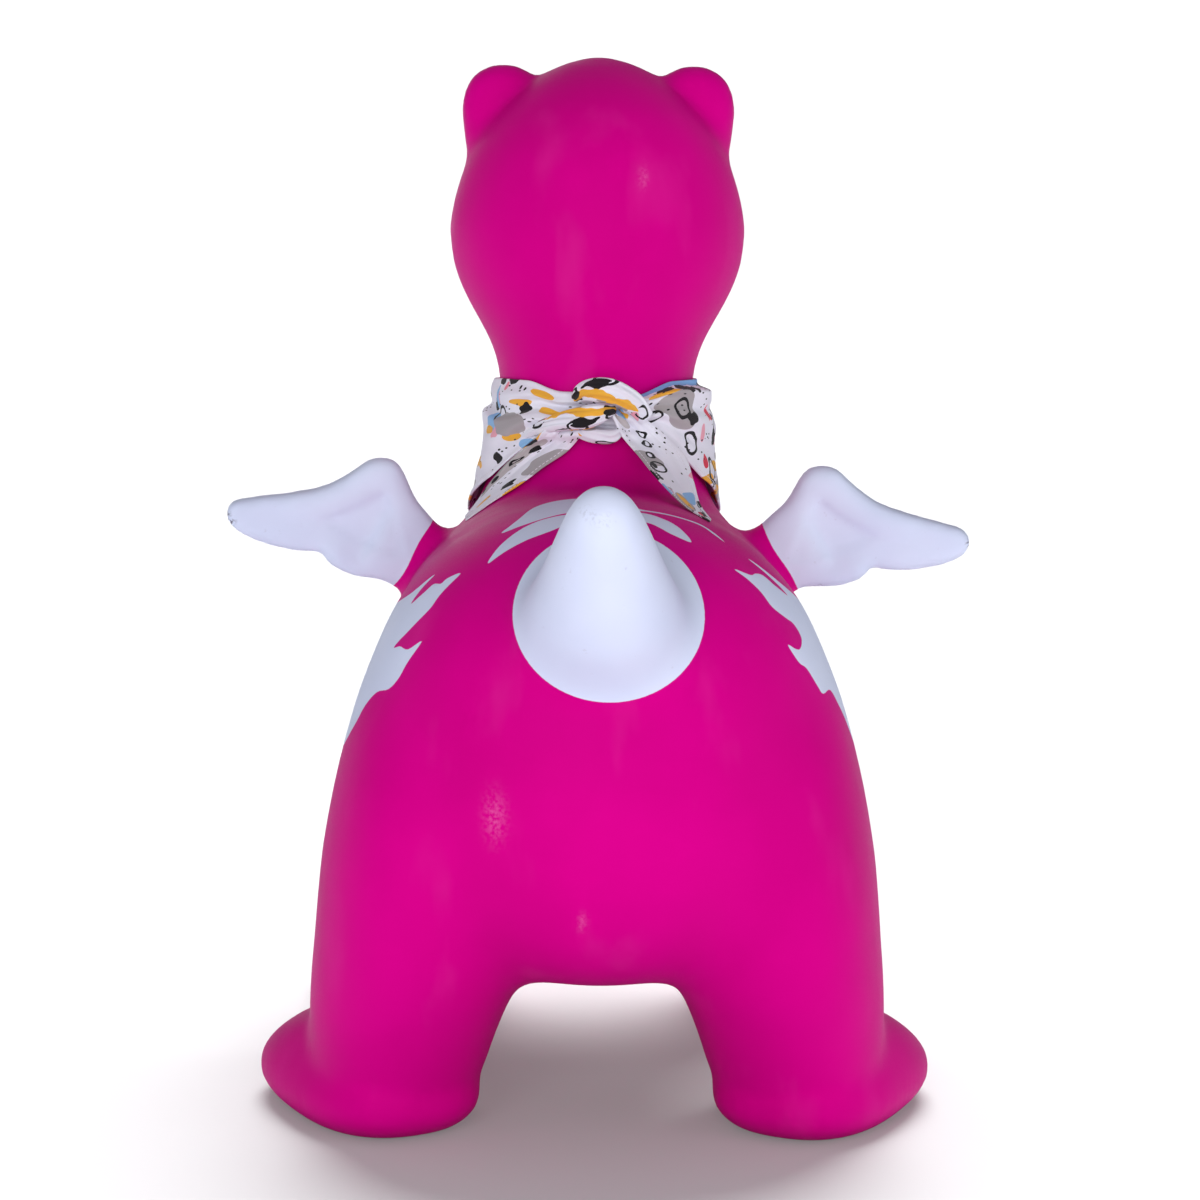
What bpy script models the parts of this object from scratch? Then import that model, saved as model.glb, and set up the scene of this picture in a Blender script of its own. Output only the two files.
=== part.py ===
"""A bouncing ride-on animal: an inflated skin with four feet, two wings, two ears and a horn-shaped tail,
a valve plug in its belly and a folded bandana tied behind its neck. Metres, +Z up. The animal faces +Y, its right
side is +X, it stands on z = 0, and the origin is under the middle of its box.

The skin is one moulding on the real toy. Here its forms are lofted and fused into one skin first, and the skin is
then cut along its flex lines, so that each named region is a solid that meets its neighbours face to face."""

import math

import bmesh
import bpy
import numpy as np
from mathutils import Matrix, Vector
from mathutils.bvhtree import BVHTree

# Clearances and the fineness of the skin
gap = 0.0003
trunk_voxel = 0.006
trunk_passes = 26
skin_voxel = 0.005
skin_passes = 6
skin_triangles_share = 0.046
fine_voxel = 0.0025
wing_passes = 6
wing_triangles_share = 0.055
knot_passes = skin_passes // 3
knot_triangles_share = 0.10
ring_sides = 24
steps_between = 4

# Trunk, lofted from rump to chest
torso_rear = -0.214
torso_front = 0.209
torso_half_width = 0.1245
back_height = 0.342
belly_height = 0.0875
torso_power = 2.2
torso_length = torso_front - torso_rear
# Along the trunk: place, half-width, top and bottom, each as a share of the sizes above.
torso_shares = (
    (0.0, 0.12, 0.62, 1.90),
    (0.025, 0.50, 0.76, 1.42),
    (0.075, 0.76, 0.88, 1.14),
    (0.16, 0.95, 0.965, 1.0),
    (0.28, 1.04, 1.0, 0.97),
    (0.44, 1.015, 0.984, 1.0),
    (0.60, 0.985, 0.966, 1.02),
    (0.74, 0.95, 0.945, 1.08),
    (0.86, 0.84, 0.92, 1.28),
    (0.95, 0.58, 0.85, 1.80),
    (1.0, 0.16, 0.70, 2.45),
)

# Neck, standing on the shoulders
neck_place_share = 0.754
neck_foot_share = 0.766
neck_rise = 0.050
neck_half_width = 0.0563
neck_half_depth = 0.0640
neck_lean_share = 0.34
neck_y = torso_rear + torso_length * neck_place_share
neck_lean = neck_half_depth * neck_lean_share
neck_top_height = back_height + neck_rise
neck_foot_height = back_height * neck_foot_share
neck_length = neck_top_height - neck_foot_height
# Up the neck: place, half-width and half-depth, as shares of the neck's length and of its narrowest half-sizes.
neck_shares = (
    (0.0, 1.62, 1.62),
    (0.20, 1.38, 1.46),
    (0.38, 1.20, 1.32),
    (0.60, 1.08, 1.17),
    (0.80, 1.02, 1.06),
    (1.0, 1.0, 1.0),
)
neck_seam_share = 0.485
neck_seam_tilt_deg = 15.0
neck_seam_back_share = 1.375
# The soft ring between the neck and the head.
neck_flex_length = 0.0265
neck_flex_start_share = 0.525
neck_flex_height = neck_top_height - neck_flex_length * neck_flex_start_share

# Head and muzzle
head_height = 0.1770
head_half_width = 0.0892
head_half_depth = 0.0900
head_forward_share = 0.167
head_top_height = neck_top_height + head_height
head_y = neck_y + neck_lean + head_half_depth * head_forward_share
# Up the head from the neck's top: place, half-width and half-depth as shares of the sizes above.
head_shares = (
    (0.0, 0.66, 0.70),
    (0.09, 0.74, 0.78),
    (0.20, 0.885, 0.90),
    (0.33, 0.985, 0.98),
    (0.46, 1.0, 1.0),
    (0.60, 0.915, 0.95),
    (0.74, 0.805, 0.86),
    (0.87, 0.62, 0.69),
    (0.96, 0.40, 0.46),
    (1.0, 0.14, 0.16),
)
muzzle_length = 0.1265
muzzle_rise_share = 0.43
muzzle_width_share = 0.78
muzzle_height_share = 0.328
muzzle_height = neck_top_height + head_height * muzzle_rise_share
muzzle_half_width = head_half_width * muzzle_width_share
muzzle_half_height = head_height * muzzle_height_share
# Along the muzzle from the middle of the head: place, half-width, half-height and how far it dips.
muzzle_shares = (
    (0.0, 1.0, 1.0, 0.0),
    (0.35, 0.97, 0.98, 0.02),
    (0.58, 0.88, 0.89, 0.09),
    (0.78, 0.84, 0.80, 0.16),
    (0.91, 0.70, 0.66, 0.20),
    (1.0, 0.34, 0.32, 0.22),
)

# Ears
ear_x_share = 0.623
ear_forward_share = 0.09
ear_top_share = 0.972
ear_foot_share = 0.486
ear_half_width = 0.0240
ear_half_depth = 0.0190
ear_lean_share = 0.17
ear_power = 2.3
ear_x = head_half_width * ear_x_share
ear_y = head_y + head_half_depth * ear_forward_share
ear_top_height = neck_top_height + head_height * ear_top_share
ear_foot_height = neck_top_height + head_height * ear_foot_share
ear_height = ear_top_height - ear_foot_height
ear_lean = ear_half_width * ear_lean_share
# Up the ear: place, half-width and half-depth.
ear_shares = (
    (0.0, 0.85, 1.0),
    (0.35, 1.0, 1.0),
    (0.62, 1.0, 0.95),
    (0.82, 0.90, 0.82),
    (0.94, 0.66, 0.62),
    (1.0, 0.22, 0.24),
)
ear_cut_out_share = 0.28
ear_cut_up_share = 0.634
ear_cut_tilt_deg = 58.0
ear_root_share = 0.078
ear_cut_length_share = 1.33
ear_cut_depth_share = 1.21
ear_root_length = ear_height * ear_root_share

# Tail, a rounded cone on a flared base
tail_place_share = 0.0804
tail_height_share = 0.838
tail_lift_deg = 47.0
tail_length = 0.1215
tail_base_radius = 0.0515
tail_y = torso_rear + torso_length * tail_place_share
tail_height = back_height * tail_height_share
# Along the tail from its base: place and radius.
tail_shares = (
    (-0.22, 1.02),
    (0.0, 0.97),
    (0.12, 0.83),
    (0.28, 0.69),
    (0.45, 0.585),
    (0.65, 0.475),
    (0.82, 0.37),
    (0.93, 0.265),
    (0.985, 0.145),
    (1.0, 0.04),
)
tail_root_start_share = 0.10
tail_root_length_share = 0.12
tail_root_start = tail_length * tail_root_start_share
tail_root_end = tail_root_start + tail_length * tail_root_length_share

# Feet
foot_height = 0.0600
foot_half_length = 0.0790
foot_half_width = 0.0530
foot_power = 2.5
foot_sink_share = 0.15
foot_sink = foot_height * foot_sink_share
rear_toe_out_deg = 26.0
front_toe_out_deg = 14.0
front_foot_share = 0.90
# Up the foot from under the floor: place, length, width and how far its middle draws back to the ankle.
foot_shares = (
    (0.0, 0.68, 0.66, 0.0),
    (0.13, 0.88, 0.86, 0.0),
    (0.23, 0.97, 0.96, 0.0),
    (0.35, 1.0, 1.0, 0.0),
    (0.48, 0.98, 0.98, 0.01),
    (0.61, 0.91, 0.91, 0.04),
    (0.75, 0.79, 0.82, 0.10),
    (0.90, 0.62, 0.68, 0.18),
    (1.0, 0.38, 0.46, 0.24),
)
ankle_bottom_share = 0.817
ankle_top_share = 1.333
ankle_bottom_height = foot_height * ankle_bottom_share
ankle_top_height = foot_height * ankle_top_share
foot_reach_share = 0.50
leg_reach_share = 0.733

# Legs: where they stand, and their sections
leg_top_share = 0.737
leg_power = 2.15
rear_leg_x_share = 0.751
rear_leg_place_share = 0.246
rear_leg_half_width = 0.0590
rear_leg_half_depth = 0.0830
front_leg_x_share = 0.683
front_leg_place_share = 0.794
front_leg_half_width = 0.0520
front_leg_half_depth = 0.0640
leg_top_height = back_height * leg_top_share
rear_leg_x = torso_half_width * rear_leg_x_share
rear_leg_y = torso_rear + torso_length * rear_leg_place_share
foot_reach = foot_half_length * foot_reach_share + rear_leg_half_depth * leg_reach_share
front_leg_x = torso_half_width * front_leg_x_share
front_leg_y = torso_rear + torso_length * front_leg_place_share
# Down the hind leg: height, shift outward, shift forward, half-width and half-depth, as shares of the leg's sizes.
rear_leg_shares = (
    (1.14, -0.58, 0.31, 0.66, 0.55),
    (1.02, -0.36, 0.22, 0.90, 0.84),
    (0.84, -0.18, 0.07, 0.97, 1.0),
    (0.70, -0.07, 0.025, 0.99, 1.02),
    (0.58, 0.0, 0.0, 1.0, 1.0),
    (0.42, 0.07, -0.025, 0.985, 0.92),
    (0.30, 0.144, -0.025, 0.96, 0.80),
    (0.19, 0.24, 0.05, 0.88, 0.72),
    (0.06, 0.29, 0.10, 0.80, 0.66),
)
# Down the front leg, in the same way.
front_leg_shares = (
    (1.0, -0.58, -0.31, 0.62, 0.56),
    (0.93, -0.385, -0.22, 0.88, 0.80),
    (0.80, -0.155, -0.095, 1.0, 0.98),
    (0.58, 0.04, 0.0, 1.0, 1.0),
    (0.42, 0.155, 0.045, 0.98, 0.94),
    (0.30, 0.23, 0.06, 0.95, 0.86),
    (0.19, 0.31, 0.095, 0.90, 0.78),
    (0.06, 0.345, 0.125, 0.82, 0.72),
)
# Where each foot stands: outward and forward of its leg, as shares of the leg's half-width and the foot's half-length.
rear_foot_out_share = 0.551
rear_foot_ahead_share = 0.323
front_foot_out_share = 0.5385
front_foot_ahead_share = 0.101
rear_foot_x = rear_leg_x + rear_leg_half_width * rear_foot_out_share
rear_foot_y = rear_leg_y + foot_half_length * rear_foot_ahead_share
front_foot_x = front_leg_x + front_leg_half_width * front_foot_out_share
front_foot_y = front_leg_y + foot_half_length * front_foot_ahead_share
rear_hip_share = 1.06
front_hip_share = 1.094
hip_height_share = 0.595
hip_inner_share = 0.321
hip_height = leg_top_height * hip_height_share
hip_inner_x = torso_half_width * hip_inner_share

# Wings: a pink root on the shoulder, and a wing whose outline is seen from behind
wing_root_x_share = 0.811
wing_root_place_share = 0.667
wing_root_height_share = 0.8246
wing_root_tilt_deg = 30.0
wing_root_half_height = 0.0225
wing_root_half_depth = 0.0140
wing_root_reach = 0.030
wing_root_start_share = -0.13
wing_paint_line_share = 0.223
wing_root_margin_share = 0.10
wing_root_x = torso_half_width * wing_root_x_share
wing_root_y = torso_rear + torso_length * wing_root_place_share
wing_root_height = back_height * wing_root_height_share
wing_root_start = wing_root_reach * wing_root_start_share
wing_paint_line = wing_root_reach * wing_paint_line_share
# Out along the wing root: place and size.
wing_root_shares = ((-1.4, 1.55), (-0.7, 1.25), (0.0, 1.02), (0.5, 0.98), (1.0, 1.0))
wing_reach = 0.1075
wing_rise = 0.0540
wing_edge_depth = 0.0130
wing_arm_depth = 0.0240
wing_lift_deg = {"left": 5.1, "right": -2.6}
# The wing's outline from the root's top, out to the tip and back below: shares of the reach and the rise.
wing_outline_shares = (
    (-0.10, 0.39),
    (0.02, 0.58),
    (0.08, 0.80),
    (0.13, 0.95),
    (0.20, 1.0),
    (0.28, 0.95),
    (0.37, 0.78),
    (0.50, 0.62),
    (0.66, 0.57),
    (0.92, 0.46),
    (1.0, 0.30),
    (0.93, 0.14),
    (0.78, 0.04),
    (0.62, -0.01),
    (0.50, 0.01),
    (0.43, -0.11),
    (0.33, -0.21),
    (0.20, -0.27),
    (0.08, -0.31),
    (-0.08, -0.33),
)
# The thick arm inside the wing: up from the root to the wrist and out along the leading edge.
wing_arm_shares = (
    (-0.10, 0.36),
    (0.06, 0.62),
    (0.14, 0.88),
    (0.21, 0.93),
    (0.28, 0.88),
    (0.40, 0.66),
    (0.62, 0.52),
    (0.84, 0.42),
    (0.82, 0.33),
    (0.60, 0.34),
    (0.40, 0.40),
    (0.27, 0.50),
    (0.20, 0.36),
    (0.12, 0.06),
    (-0.08, -0.30),
)

# Valve in the belly
valve_place_share = 0.515
valve_recess_depth = 0.0050
valve_seat_margin = 0.0015
valve_bore_radius = 0.0050
valve_bore_depth = 0.024
valve_y = torso_rear + torso_length * valve_place_share
valve_seat_height = belly_height + valve_recess_depth
plug_clearance = 0.0003
plug_flange_radius = 0.0110
plug_flange_thickness = 0.0025
plug_shank_share = 0.83
plug_shank_length = valve_bore_depth * plug_shank_share
plug_waist_share = 0.88
plug_ribs = 2
plug_grip_radius = 0.0040
plug_grip_length = 0.0035

# Bandana
cloth_thickness = 0.0024
cloth_seat = 0.0007
bandana_nape_rise_share = 0.97
bandana_tilt_share = 0.11
bandana_nape_depth = 0.0300
bandana_drop = 0.1150
bandana_nape_height = neck_foot_height + neck_length * bandana_nape_rise_share
# From the nape round to the chest: how far the lower edge has dropped.
bandana_drop_shares = (0.0, 0.06, 0.24, 0.36, 0.48, 0.74, 1.0)
bandana_slack = 0.0032
# From the top edge to the bottom: how much of the slack stands off the neck.
bandana_slack_shares = (0.35, 0.75, 1.0, 0.9, 0.7, 0.5)
# The right side sits looser, most of all at its top edge.
bandana_right_slack = 0.0105
bandana_right_slack_shares = (1.0, 1.0, 0.90, 0.65, 0.40, 0.15)
bandana_columns = 44
bandana_rows = 5
bandana_fold_depth = 0.0016
bandana_folds = 7
knot_half_width = 0.0240
knot_half_height = 0.0195
knot_half_depth = 0.0095
knot_place_share = 0.42
knot_turn_share = 0.42
knot_tilt_deg = 16.0
knot_height = bandana_nape_height - bandana_nape_depth * knot_place_share
# Each end is laid out as seen from behind and a little above, on the upright plane through the origin.
end_look_deg = 11.0
end_start_x = {"left": -0.0047, "right": 0.0125}
end_start_rise = {"left": -0.0060, "right": 0.0030}
end_tip_x = {"left": -0.0751, "right": 0.0584}
end_drop = {"left": 0.0595, "right": 0.0605}
end_columns = 6
end_rows = 10
end_folds = 1.5
end_fold_depth = 0.0022
end_smooth_radius = 0.0080
# Down each end: place, how far it bows aside and its width, as shares of its length.
end_shares = {
    "left": (
        (0.0, 0.0, 0.20),
        (0.25, 0.035, 0.20),
        (0.50, 0.055, 0.19),
        (0.75, 0.045, 0.14),
        (1.0, 0.0, 0.02),
    ),
    "right": (
        (0.0, 0.0, 0.20),
        (0.25, 0.025, 0.30),
        (0.50, 0.038, 0.33),
        (0.75, 0.030, 0.21),
        (1.0, 0.0, 0.02),
    ),
}

sides = {"left": -1, "right": 1}


def clear_scene():
    for obj in list(bpy.data.objects):
        bpy.data.objects.remove(obj)


def make_collection(name):
    collection = bpy.data.collections.new(name)
    bpy.context.scene.collection.children.link(collection)
    return collection


def make_material(name, colour, roughness):
    material = bpy.data.materials.new(name)
    material.use_nodes = True
    shader = material.node_tree.nodes["Principled BSDF"]
    shader.inputs["Base Color"].default_value = (*colour, 1)
    shader.inputs["Roughness"].default_value = roughness
    shader.inputs["Metallic"].default_value = 0
    material.diffuse_color = (*colour, 1)
    return material


def add_object(name, mesh, collection, material=None):
    obj = bpy.data.objects.new(name, mesh)
    collection.objects.link(obj)
    if material:
        mesh.materials.clear()
        mesh.materials.append(material)
    return obj


def mesh_of(bm, name):
    bmesh.ops.recalc_face_normals(bm, faces=bm.faces)
    mesh = bpy.data.meshes.new(name)
    bm.to_mesh(mesh)
    bm.free()
    return mesh


def evaluated_mesh(obj):
    bpy.context.view_layer.update()
    graph = bpy.context.evaluated_depsgraph_get()
    return bpy.data.meshes.new_from_object(obj.evaluated_get(graph))


def through(rows, steps):
    """A smooth curve through rows of numbers, each row a point with any number of columns."""
    rows = np.array(rows, float)
    ends = np.vstack([2 * rows[0] - rows[1], rows, 2 * rows[-1] - rows[-2]])
    points = []
    for i in range(1, len(rows)):
        before, start, end, after = ends[i - 1 : i + 3]
        for k in range(steps):
            t = k / steps
            bend = 2 * before - 5 * start + 4 * end - after
            turn = 3 * start - before - 3 * end + after
            points.append((2 * start + (end - before) * t + bend * t * t + turn * t**3) / 2)
    points.append(rows[-1])
    return np.array(points)


def round_outline(half_x, half_y, power, count):
    """A closed outline between an ellipse (power 2) and a rectangle."""
    outline = []
    for i in range(count):
        angle = 2 * math.pi * i / count
        c, s = math.cos(angle), math.sin(angle)
        x = math.copysign(abs(c) ** (2 / power), c)
        y = math.copysign(abs(s) ** (2 / power), s)
        outline.append((half_x * x, half_y * y))
    return outline


def loft(bm, sections, axis, power=2.0):
    """A closed form through sections (place, across, along, half across, half along), each square to the axis."""
    order = {"X": (2, 0, 1), "Y": (0, 2, 1), "Z": (0, 1, 2)}[axis]
    rings = []
    for place, u, v, half_u, half_v in through(sections, steps_between):
        ring = []
        for du, dv in round_outline(half_u, half_v, power, ring_sides):
            local = (u + du, v + dv, place)
            ring.append(bm.verts.new([local[order[k]] for k in range(3)]))
        rings.append(ring)
    for low, high in zip(rings, rings[1:]):
        for i in range(ring_sides):
            j = (i + 1) % ring_sides
            bm.faces.new((low[i], low[j], high[j], high[i]))
    bm.faces.new(rings[0])
    bm.faces.new(rings[-1])
    return [vert for ring in rings for vert in ring]


def move(bm, verts, matrix):
    bmesh.ops.transform(bm, matrix=matrix, verts=verts)


def torso_form(bm):
    sections = []
    for place, width, top, bottom in torso_shares:
        high, low = back_height * top, belly_height * bottom
        y = torso_rear + torso_length * place
        sections.append((y, 0, (high + low) / 2, torso_half_width * width, (high - low) / 2))
    loft(bm, sections, "Y", torso_power)


def neck_form(bm):
    sections = []
    for place, width, depth in neck_shares:
        z = neck_foot_height + neck_length * place
        y = neck_y + neck_lean * place
        sections.append((z, 0, y, neck_half_width * width, neck_half_depth * depth))
    loft(bm, sections, "Z")


def head_form(bm):
    sections = []
    for place, width, depth in head_shares:
        z = neck_top_height + head_height * place
        y = head_y + (neck_y + neck_lean - head_y) * (1 - place) ** 4
        sections.append((z, 0, y, head_half_width * width, head_half_depth * depth))
    loft(bm, sections, "Z")


def muzzle_form(bm):
    sections = []
    for place, width, height, dip in muzzle_shares:
        y = head_y + muzzle_length * place
        z = muzzle_height - muzzle_half_height * dip
        sections.append((y, 0, z, muzzle_half_width * width, muzzle_half_height * height))
    loft(bm, sections, "Y")


def ear_form(bm, side):
    sections = []
    for place, width, depth in ear_shares:
        z = ear_foot_height + ear_height * place
        x = side * (ear_x + ear_lean * (place - 1))
        sections.append((z, x, ear_y, ear_half_width * width, ear_half_depth * depth))
    loft(bm, sections, "Z", ear_power)


def tail_frame():
    """The tail's base, with +Z along the tail."""
    turn = Matrix.Rotation(math.radians(90 - tail_lift_deg), 4, "X")
    return Matrix.Translation((0, tail_y, tail_height)) @ turn


def tail_form(bm):
    sections = []
    for place, radius in tail_shares:
        r = tail_base_radius * radius
        sections.append((tail_length * place, 0, 0, r, r))
    move(bm, loft(bm, sections, "Z"), tail_frame())


def leg_form(bm, side, place, half_width, half_depth, shares):
    sections = []
    for height, out, ahead, width, depth in shares:
        x = side * (place[0] + half_width * out)
        y = place[1] + half_depth * ahead
        sections.append((leg_top_height * height, x, y, half_width * width, half_depth * depth))
    loft(bm, sections, "Z", leg_power)


def foot_form(bm, side, place, toe_out_deg, size):
    sections = []
    for height, length, width, back in foot_shares:
        z = -foot_sink + (foot_height + foot_sink) * height
        y = -foot_half_length * back * size
        sections.append((z, 0, y, foot_half_width * width * size, foot_half_length * length * size))
    turn = Matrix.Rotation(math.radians(-side * toe_out_deg), 4, "Z")
    move(bm, loft(bm, sections, "Z", foot_power), Matrix.Translation((side * place[0], place[1], 0)) @ turn)


def wing_root_frame(side):
    """The middle of the wing root's cut, with +Z out along the root."""
    turn = Matrix.Rotation(math.radians(side * (90 - wing_root_tilt_deg)), 4, "Y")
    return Matrix.Translation((side * wing_root_x, wing_root_y, wing_root_height)) @ turn


def wing_root_form(bm, side):
    sections = []
    for place, size in wing_root_shares:
        half_height, half_depth = wing_root_half_height * size, wing_root_half_depth * size
        sections.append((wing_root_reach * place, 0, 0, half_height, half_depth))
    move(bm, loft(bm, sections, "Z"), wing_root_frame(side))


def soften(name, bm, collection, voxel, passes, triangles_share):
    """Fuses the forms in bm into one closed skin with rounded joins, and returns its mesh."""
    obj = add_object(name, mesh_of(bm, name), collection)
    remesh = obj.modifiers.new("fuse", "REMESH")
    remesh.mode = "VOXEL"
    remesh.voxel_size = voxel
    smooth = obj.modifiers.new("round", "SMOOTH")
    smooth.factor = 0.5
    smooth.iterations = passes
    fewer = obj.modifiers.new("fewer", "DECIMATE")
    fewer.ratio = triangles_share
    mesh = evaluated_mesh(obj)
    bpy.data.objects.remove(obj)
    return mesh


def make_skin(collection):
    """The whole skin: the trunk, legs, neck and head fused with wide joins, then the smaller forms with tight ones."""
    bm = bmesh.new()
    torso_form(bm)
    neck_form(bm)
    head_form(bm)
    muzzle_form(bm)
    for side in sides.values():
        rear, front = (rear_leg_x, rear_leg_y), (front_leg_x, front_leg_y)
        leg_form(bm, side, rear, rear_leg_half_width, rear_leg_half_depth, rear_leg_shares)
        leg_form(bm, side, front, front_leg_half_width, front_leg_half_depth, front_leg_shares)
    trunk = soften("trunk", bm, collection, trunk_voxel, trunk_passes, 1)
    bm = bmesh.new()
    bm.from_mesh(trunk)
    tail_form(bm)
    for side in sides.values():
        ear_form(bm, side)
        wing_root_form(bm, side)
        foot_form(bm, side, (rear_foot_x, rear_foot_y), rear_toe_out_deg, 1)
        foot_form(bm, side, (front_foot_x, front_foot_y), front_toe_out_deg, front_foot_share)
    return soften("skin", bm, collection, skin_voxel, skin_passes, skin_triangles_share)


def box_mesh(low, high, frame=None):
    """A box between two corners of a frame."""
    bm = bmesh.new()
    bmesh.ops.create_cube(bm, size=1)
    size = [b - a for a, b in zip(low, high)]
    middle = [(a + b) / 2 for a, b in zip(low, high)]
    matrix = Matrix.Translation(middle) @ Matrix.Diagonal((*size, 1))
    bm.transform((frame or Matrix.Identity(4)) @ matrix)
    return mesh_of(bm, "box")


def prism_mesh(outline, low_x, high_x):
    """An outline in y and z drawn out along X."""
    bm = bmesh.new()
    ends = [[bm.verts.new((x, y, z)) for y, z in outline] for x in (low_x, high_x)]
    for i in range(len(outline)):
        j = (i + 1) % len(outline)
        bm.faces.new((ends[0][i], ends[0][j], ends[1][j], ends[1][i]))
    bm.faces.new(ends[0])
    bm.faces.new(ends[1])
    return mesh_of(bm, "prism")


def combine(mesh, other, operation):
    """The Boolean of two closed meshes."""
    obj = add_object("combined", mesh.copy(), bpy.context.scene.collection)
    cutter = add_object("other", other, bpy.context.scene.collection)
    cut = obj.modifiers.new("cut", "BOOLEAN")
    cut.operation = operation
    cut.solver = "MANIFOLD"
    cut.object = cutter
    result = evaluated_mesh(obj)
    bpy.data.objects.remove(obj)
    bpy.data.objects.remove(cutter)
    return result


def swollen(mesh, by):
    """A copy whose faces lie a little further out."""
    obj = add_object("swollen", mesh.copy(), bpy.context.scene.collection)
    swell = obj.modifiers.new("swell", "DISPLACE")
    swell.mid_level = 0
    swell.strength = by
    result = evaluated_mesh(obj)
    bpy.data.objects.remove(obj)
    return result


def carve(body, make_region):
    """Takes a region out of a body and returns both, with the gap between them."""
    piece = combine(body, make_region(0), "INTERSECT")
    return piece, combine(body, make_region(gap), "DIFFERENCE")


def round_region(half_x, half_y, low, high, frame):
    """An oval bar along a frame's Z."""

    def grown(by):
        bm = bmesh.new()
        outline = round_outline(half_x + by, half_y + by, 2, ring_sides)
        ends = [[bm.verts.new((x, y, z)) for x, y in outline] for z in (low - by, high + by)]
        for i in range(ring_sides):
            j = (i + 1) % ring_sides
            bm.faces.new((ends[0][i], ends[0][j], ends[1][j], ends[1][i]))
        bm.faces.new(ends[0])
        bm.faces.new(ends[1])
        bm.transform(frame)
        return mesh_of(bm, "bar")

    return grown


def box_region(low, high, frame=None):
    def grown(by):
        return box_mesh([a - by for a in low], [b + by for b in high], frame)

    return grown


def hip_region(side, y, radius):
    """The haunch as seen from the side: a half circle over straight sides."""

    def grown(by):
        r = radius + by
        outline = []
        for i in range(ring_sides + 1):
            angle = math.pi * i / ring_sides
            outline.append((y + r * math.cos(angle), hip_height + r * math.sin(angle)))
        outline += [(y - r, ankle_top_height - by), (y + r, ankle_top_height - by)]
        xs = sorted((side * (hip_inner_x - by), side * (rear_leg_x + 4 * rear_leg_half_width)))
        return prism_mesh(outline, *xs)

    return grown


def around(x, y, low_z, high_z):
    """A box round a foot, between two heights."""
    return box_region((x - foot_reach, y - foot_reach, low_z), (x + foot_reach, y + foot_reach, high_z))


def ear_frame(side):
    """The middle of the ear's cut, with +Z out along the ear."""
    x = ear_x + ear_half_width * ear_cut_out_share
    z = ear_foot_height + ear_height * ear_cut_up_share
    turn = Matrix.Rotation(math.radians(side * ear_cut_tilt_deg), 4, "Y")
    return Matrix.Translation((side * x, ear_y, z)) @ turn


def foot_place(end, side):
    x, y = {"rear": (rear_foot_x, rear_foot_y), "front": (front_foot_x, front_foot_y)}[end]
    return side * x, y


def cut_legs(pieces, body):
    """Takes the feet, the soft ankles over them and the haunches out of the body."""
    for end, leg_y, radius in (
        ("rear", rear_leg_y, rear_leg_half_depth * rear_hip_share),
        ("front", front_leg_y, front_leg_half_depth * front_hip_share),
    ):
        for name, side in sides.items():
            x, y = foot_place(end, side)
            foot = around(x, y, -foot_sink, ankle_bottom_height - gap)
            ankle = around(x, y, ankle_bottom_height, ankle_top_height - gap)
            pieces[f"foot_{end}_{name}"], body = carve(body, foot)
            pieces[f"ankle_{end}_{name}"], body = carve(body, ankle)
            pieces[f"leg_{end}_{name}"], body = carve(body, hip_region(side, leg_y, radius))
    return body


def cut_neck(pieces, body):
    """Takes the head, the soft ring under it and the neck out of the body. The head still carries its ears."""
    far = 2 * head_top_height
    flex_top = neck_flex_height + neck_flex_length
    head, body = carve(body, box_region((-far, -far, flex_top), (far, far, far)))
    flex_region = box_region((-far, -far, neck_flex_height), (far, far, flex_top - gap))
    pieces["neck_flex"], body = carve(body, flex_region)
    seam_height = neck_foot_height + neck_length * neck_seam_share
    turn = Matrix.Rotation(-math.radians(neck_seam_tilt_deg), 4, "X")
    shoulders = Matrix.Translation((0, neck_y, seam_height)) @ turn
    back = -neck_half_depth * neck_seam_back_share
    pieces["neck"], body = carve(body, box_region((-far, back, 0), (far, far, far), shoulders))
    return head, body


def cut_ears(pieces, head):
    long = ear_half_width * ear_cut_length_share
    deep = ear_half_depth * ear_cut_depth_share
    for name, side in sides.items():
        ear = round_region(long, deep, ear_root_length, 2 * long, ear_frame(side))
        root = round_region(long, deep, 0, ear_root_length - gap, ear_frame(side))
        pieces[f"ear_{name}"], head = carve(head, ear)
        pieces[f"ear_root_{name}"], head = carve(head, root)
    return head


def cut_tail(pieces, body):
    wide = 2 * tail_base_radius
    tail = round_region(wide, wide, tail_root_end, 2 * tail_length, tail_frame())
    root = round_region(wide, wide, tail_root_start, tail_root_end - gap, tail_frame())
    pieces["tail"], body = carve(body, tail)
    pieces["tail_root"], body = carve(body, root)
    return body


def cut_wing_roots(pieces, body):
    tall = wing_root_half_height * (1 + wing_root_margin_share)
    deep = wing_root_half_depth * (1 + wing_root_margin_share)
    for name, side in sides.items():
        frame = wing_root_frame(side)
        beyond = round_region(2 * tall, 2 * deep, wing_paint_line, 3 * wing_root_reach, frame)
        root = round_region(tall, deep, wing_root_start, wing_paint_line - gap, frame)
        _, body = carve(body, beyond)
        pieces[f"wing_root_{name}"], body = carve(body, root)
    return body


def cut_skin(skin):
    """The skin's regions by name, cut along its flex lines."""
    far = 2 * head_top_height
    pieces = {}
    body = combine(skin, box_mesh((-far, -far, -far), (far, far, 0)), "DIFFERENCE")
    body = cut_legs(pieces, body)
    head, body = cut_neck(pieces, body)
    body = cut_tail(pieces, body)
    pieces["torso"] = bore_valve(cut_wing_roots(pieces, body))
    pieces["head"] = cut_ears(pieces, head)
    return pieces


def closed_through(outline, steps):
    """A smooth closed curve through an outline's points."""
    count = len(outline)
    points = through([outline[-1], *outline, outline[0], outline[1]], steps)
    return points[steps : steps + count * steps]


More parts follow.
